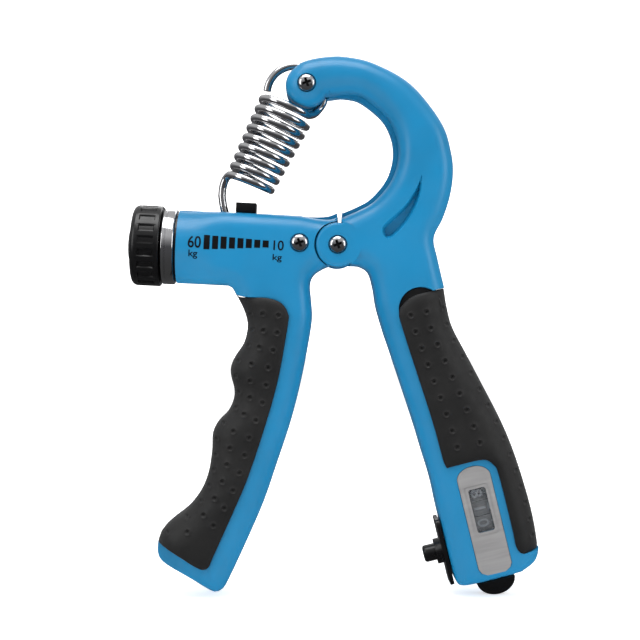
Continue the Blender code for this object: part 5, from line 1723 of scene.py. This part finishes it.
def knob_end_cap():
    """Slightly domed cap with a soft rim and a fine ring groove."""
    r, proud = CAP_RADIUS, -CAP_PROUD
    profile = [(0.0, 0.0005), (r, 0.0005)]
    profile += quarter(r - CAP_RIM, proud + CAP_RIM, CAP_RIM, 0, -90)
    outer_edge, outer_bed, inner_bed, inner_edge = CAP_GROOVE
    profile += [(r - outer_edge, proud), (r - outer_bed, proud + CAP_GROOVE_DEPTH),
                (r - inner_bed, proud + CAP_GROOVE_DEPTH), (r - inner_edge, proud),
                (0.0, proud)]
    cap = add_object("fine_knob_end_cap", lathe("fine_knob_end_cap", profile),
                     looks["black_plastic"], barrel_axis_frame(), 40)
    mount(cap, "knob", "black_plastic", "knob_end_cap")


def chrome_collar():
    """Polished ring between the knob and the barrel."""
    low, high, r, rim = COLLAR_START, COLLAR_END, COLLAR_RADIUS, COLLAR_RIM
    bed = r - COLLAR_GROOVE_DEPTH
    profile = [(ROD_SPACE, high)]
    profile += quarter(r - rim, high - rim, rim, 90, 0)
    profile += [(x, low + rim + along) for x, along in zip((r, bed, bed, r), COLLAR_GROOVE)]
    profile += quarter(r - rim, low + rim, rim, 0, -90)
    profile += [(ROD_SPACE, low)]
    ring = add_object("fine_chrome_collar", lathe("fine_chrome_collar", profile, 96),
                      looks["chrome"], barrel_axis_frame(), 40)
    mount(ring, "left_handle", "chrome", "chrome_collar")


# ---------------------------------------------------------------- spring


def coil_axis():
    """Start of the coil and its unit direction down to the slider."""
    start = Vector(COIL_TOP)
    along = (Vector(COIL_BOTTOM) - start).normalized()
    return start, along


def coil_path():
    """Tapering helix from the upper loop to the lower hook."""
    start, along = coil_axis()
    length = (Vector(COIL_BOTTOM) - start).length
    across = Vector((-along.y, along.x))
    steps = round(COIL_TURNS * TURN_STEPS)
    path = []
    for k in range(steps + 1):
        share = k / steps
        radius = COIL_TOP_RADIUS + (COIL_BOTTOM_RADIUS - COIL_TOP_RADIUS) * share
        angle = COIL_FIRST_ANGLE + 2 * math.pi * COIL_TURNS * share
        centre = start + along * length * share
        side = centre + across * radius * math.cos(angle)
        path.append(Vector((side.x, -radius * math.sin(angle), side.y)))
    return path


def lead_in(end, neighbour):
    """Two points off the end of the coil's wire, in line with it, and the end itself."""
    along = (end - neighbour).normalized()
    return [end + along * WIRE_LEAD, end + along * WIRE_LEAD / 2, end]


def spring():
    """Chrome wire in one flowing line: loop, coil and hook, the loop on the spring's top
    body.
    """
    coil = coil_path()
    ring = [Vector((x, 0.0, z)) for x, z in arc(LOOP_CENTRE, LOOP_RADIUS, 174, 0)]
    sweep = [Vector(p) * MM for p in LOOP_SWEEP] + lead_in(coil[0], coil[1])
    upper = wire("fine_spring_loop", ring[:-1] + through([ring[-1]] + sweep, WIRE_STEP))
    loop = add_object("fine_spring_loop", upper, looks["chrome"], smooth_angle=60)
    mount(loop, "spring_top", "chrome", "spring_upper_loop")

    middle = add_object("fine_spring_coil", wire("fine_spring_coil", coil),
                        looks["chrome"], smooth_angle=60)
    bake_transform(middle)
    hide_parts("spring_coil")

    down = spline(scaled(HOOK_SHANK))
    bend = arc(HOOK_PIN, HOOK_RADIUS, 172, 370)
    start = list(reversed(lead_in(coil[-1], coil[-2])))
    start += [Vector(p) * MM for p in HOOK_SWEEP]
    end = [Vector((x, 0.0, z)) for x, z in down + bend[1:]]
    lower = wire("fine_spring_hook", through(start + end[:1], WIRE_STEP) + end[1:])
    hook = add_object("fine_spring_hook", lower, looks["chrome"], smooth_angle=60)
    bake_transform(hook)
    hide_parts("spring_lower_hook")


# ---------------------------------------------------------------- packed small parts


def refined(node, slot, width, look=None):
    """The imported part's own shape with rounded edges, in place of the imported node."""
    packed = frame["nodes"][node]
    work = bmesh.new()
    work.from_mesh(packed.data)
    bmesh.ops.remove_doubles(work, verts=work.verts, dist=WELD)
    bmesh.ops.dissolve_limit(work, angle_limit=math.radians(1.0), verts=work.verts,
                             edges=work.edges)
    mesh = bpy.data.meshes.new("fine_" + node)
    work.to_mesh(mesh)
    work.free()
    part = add_object("fine_" + node, mesh, look or looks[slot])
    soften(part, width)
    body = next(b for b, members in frame["record"]["behaviour"]["bodies"].items()
                if node in members)
    mount(part, body, slot, node)
    return part


def button_return_spring():
    """Return spring of the count button: its imported shape with softened edges, on a mesh
    of its own.
    """
    coil = refined("button_return_spring", "steel", SPRING_WIRE_EDGE)
    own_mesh(coil)


def finish_packed_nodes():
    """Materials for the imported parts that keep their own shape."""
    for node, slot in PACKED_FINISHES.items():
        packed = frame["nodes"][node]
        packed.material_slots[0].material = looks[slot]


# ---------------------------------------------------------------- studio


def stage_plane(name, size, place, turn, look):
    """Square plane that belongs to the studio, not to the tool."""
    half = size / 2
    work = bmesh.new()
    corners = ((-half, -half), (half, -half), (half, half), (-half, half))
    work.faces.new([work.verts.new((x, y, 0.0)) for x, y in corners])
    plane = add_object(name, mesh_from_bmesh(name, work), look)
    plane.location = place
    plane.rotation_euler = turn
    return plane


def glowing(name, strength):
    """White material that shines evenly."""
    made, tree, shader = blank_material(name)
    shader.inputs["Base Color"].default_value = (1.0, 1.0, 1.0, 1.0)
    shader.inputs["Emission Color"].default_value = (1.0, 1.0, 1.0, 1.0)
    shader.inputs["Emission Strength"].default_value = strength
    return made


def paper_floor():
    """Pale paper, very slightly mottled."""
    made, tree, shader = blank_material("pale_paper")
    fibres = noise(tree, 40.0, 3.0)
    tree.links.new(ramp(tree, fibres, FLOOR_SHADES), shader.inputs["Base Color"])
    shader.inputs["Roughness"].default_value = 0.9
    shader.inputs["Specular IOR Level"].default_value = 0.1
    shader.inputs["Emission Color"].default_value = (1.0, 1.0, 1.0, 1.0)
    shader.inputs["Emission Strength"].default_value = FLOOR_GLOW
    return made


def dome():
    """White surround that only the camera sees."""
    work = bmesh.new()
    bmesh.ops.create_uvsphere(work, u_segments=48, v_segments=24, radius=DOME_RADIUS)
    surround = add_object("white_surround", mesh_from_bmesh("white_surround", work),
                          glowing("white_surround", 1.0))
    surround.visible_diffuse = False
    surround.visible_glossy = False
    surround.visible_transmission = False
    surround.visible_shadow = False


def softbox(name, place, target, width, height, power):
    """Rectangular light aimed at a point."""
    light = bpy.data.lights.new(name, "AREA")
    light.shape = "RECTANGLE"
    light.size = width
    light.size_y = height
    light.energy = power
    holder = bpy.data.objects.new(name, light)
    bpy.context.scene.collection.objects.link(holder)
    holder.location = place
    aim = Vector(target) - Vector(place)
    holder.rotation_euler = aim.to_track_quat("-Z", "Y").to_euler()


def sky():
    """Soft surround light, stronger from above than from below."""
    world = bpy.data.worlds.new("studio")
    bpy.context.scene.world = world
    world.use_nodes = True
    tree = world.node_tree
    background = tree.nodes["Background"]
    place = tree.nodes.new("ShaderNodeTexCoord")
    parts = tree.nodes.new("ShaderNodeSeparateXYZ")
    tree.links.new(place.outputs["Generated"], parts.inputs["Vector"])
    height = tree.nodes.new("ShaderNodeMapRange")
    height.inputs["From Min"].default_value = -1.0
    tree.links.new(parts.outputs["Z"], height.inputs["Value"])
    tree.links.new(ramp(tree, height.outputs["Result"], SKY_SHADES),
                   background.inputs["Color"])
    background.inputs["Strength"].default_value = SKY_STRENGTH


def dark_card(name, place, turn, size):
    """Dark board outside the view that gives the chrome its dark bands."""
    made, tree, shader = blank_material(name)
    shader.inputs["Base Color"].default_value = (0.02, 0.02, 0.02, 1.0)
    shader.inputs["Roughness"].default_value = 0.9
    card = stage_plane(name, size, place, turn, made)
    card.visible_camera = False
    card.visible_shadow = False


def studio():
    """Pale floor, white surround, soft lights and two dark cards for the chrome."""
    sky()
    dome()
    floor = stage_plane("pale_floor", FLOOR_SIZE, (0.0, 0.0, 0.0), (0.0, 0.0, 0.0),
                        paper_floor())
    floor.visible_glossy = False
    for name, place, width, height, power in SOFTBOXES:
        softbox(name, place, STUDIO_MIDDLE, width, height, power)
    x, y, z = CARD_PLACE
    for side_name, side in (("left", -1), ("right", 1)):
        dark_card("dark_card_" + side_name, (side * x, y, z),
                  (math.pi / 2, 0.0, side * CARD_TURN), CARD_SIZE)


def camera():
    """Camera straight in front of the tool."""
    data = bpy.data.cameras.new("front_camera")
    data.lens = CAMERA_LENS
    data.clip_start = CAMERA_CLIP
    holder = bpy.data.objects.new("front_camera", data)
    bpy.context.scene.collection.objects.link(holder)
    holder.location = CAMERA_PLACE
    holder.rotation_euler = (math.pi / 2, 0.0, 0.0)
    bpy.context.scene.camera = holder
    bpy.context.scene.view_settings.view_transform = "Standard"


# ---------------------------------------------------------------- assembly

PACKED_FINISHES = {
    "counter_window": "clear_window", "spring_web": "steel", "pinion_shaft": "steel",
    "wheel_shaft": "steel", "knob_screw": "steel",
    "pivot_washer_front": "white_acetal", "pivot_washer_back": "white_acetal",
    "pivot_bush": "white_acetal", "carry_pinion_upper": "white_acetal",
    # barrel_gasket gets black plastic: a thin black ring in the seam between the chrome
    # collar and the barrel.
    "carry_pinion_lower": "white_acetal", "barrel_gasket": "black_plastic",
    "leadscrew": "steel", "leadscrew_clip": "steel", "hook_pin": "steel",
    "leadscrew_end_block": "black_plastic", "spring_anchor_bush": "steel"}

looks = {"blue_plastic": blue_plastic(), "grip_rubber": grip_rubber(),
         "black_plastic": black_plastic(), "chrome": chrome(), "steel": steel(),
         "silver_label": silver_label(), "clear_window": clear_window(),
         "white_acetal": white_acetal(), "wheel_grey": wheel_plastic(),
         # Dark steel on the screw recess faces: painted shade inside the recess.
         "recess_painted_shade": bright_metal("recess_painted_shade", RECESS_PAINTED_SHADE, 0.5, 0.7),
         "figure_grey": print_ink("figure_grey", FIGURE_GREY),
         "scale_ink": print_ink("scale_ink", INK)}

camera()
studio()
for side_name, facing in (("front", -1.0), ("back", 1.0)):
    right_shell("right_shell_" + side_name, facing)
    left_shell("left_shell_" + side_name, facing)
    grip_ledge("grip_ledge_" + side_name, facing > 0)
wrapped_grip("right_grip", "right_handle", right_grip_region(), right_grip_outside(),
             -1.0, RIGHT_DIMPLES)
wrapped_grip("left_grip", "left_handle", left_grip_region(), left_grip_outside(),
             1.0, LEFT_DIMPLES)
counter_label()
reset_knob()
for place_number, (body_name, shown_digit) in enumerate((("hundreds", 8), ("tens", 1),
                                                         ("units", 0))):
    wheel_figures(body_name + "_figures", body_name, place_number, shown_digit)
    refined(body_name + "_wheel", "black_plastic", SMALL_PART_ROUND, looks["wheel_grey"])
printed_scale()
front_screw("pivot_screw", "right_handle", PIVOT)
front_screw("anchor_screw", "right_handle", ANCHOR)
front_screw("barrel_screw", "left_handle", BARREL_SCREW)
for nut_name in ("pivot_sleeve_nut", "anchor_sleeve_nut", "barrel_sleeve_nut"):
    refined(nut_name, "steel", SMALL_PART_ROUND)
adjust_knob()
knob_end_cap()
chrome_collar()
refined("counter_case", "black_plastic", PART_ROUND)
refined("count_button", "black_plastic", PART_ROUND)
button_return_spring()
refined("slider_nut", "black_plastic", PART_ROUND)
spring()
finish_packed_nodes()
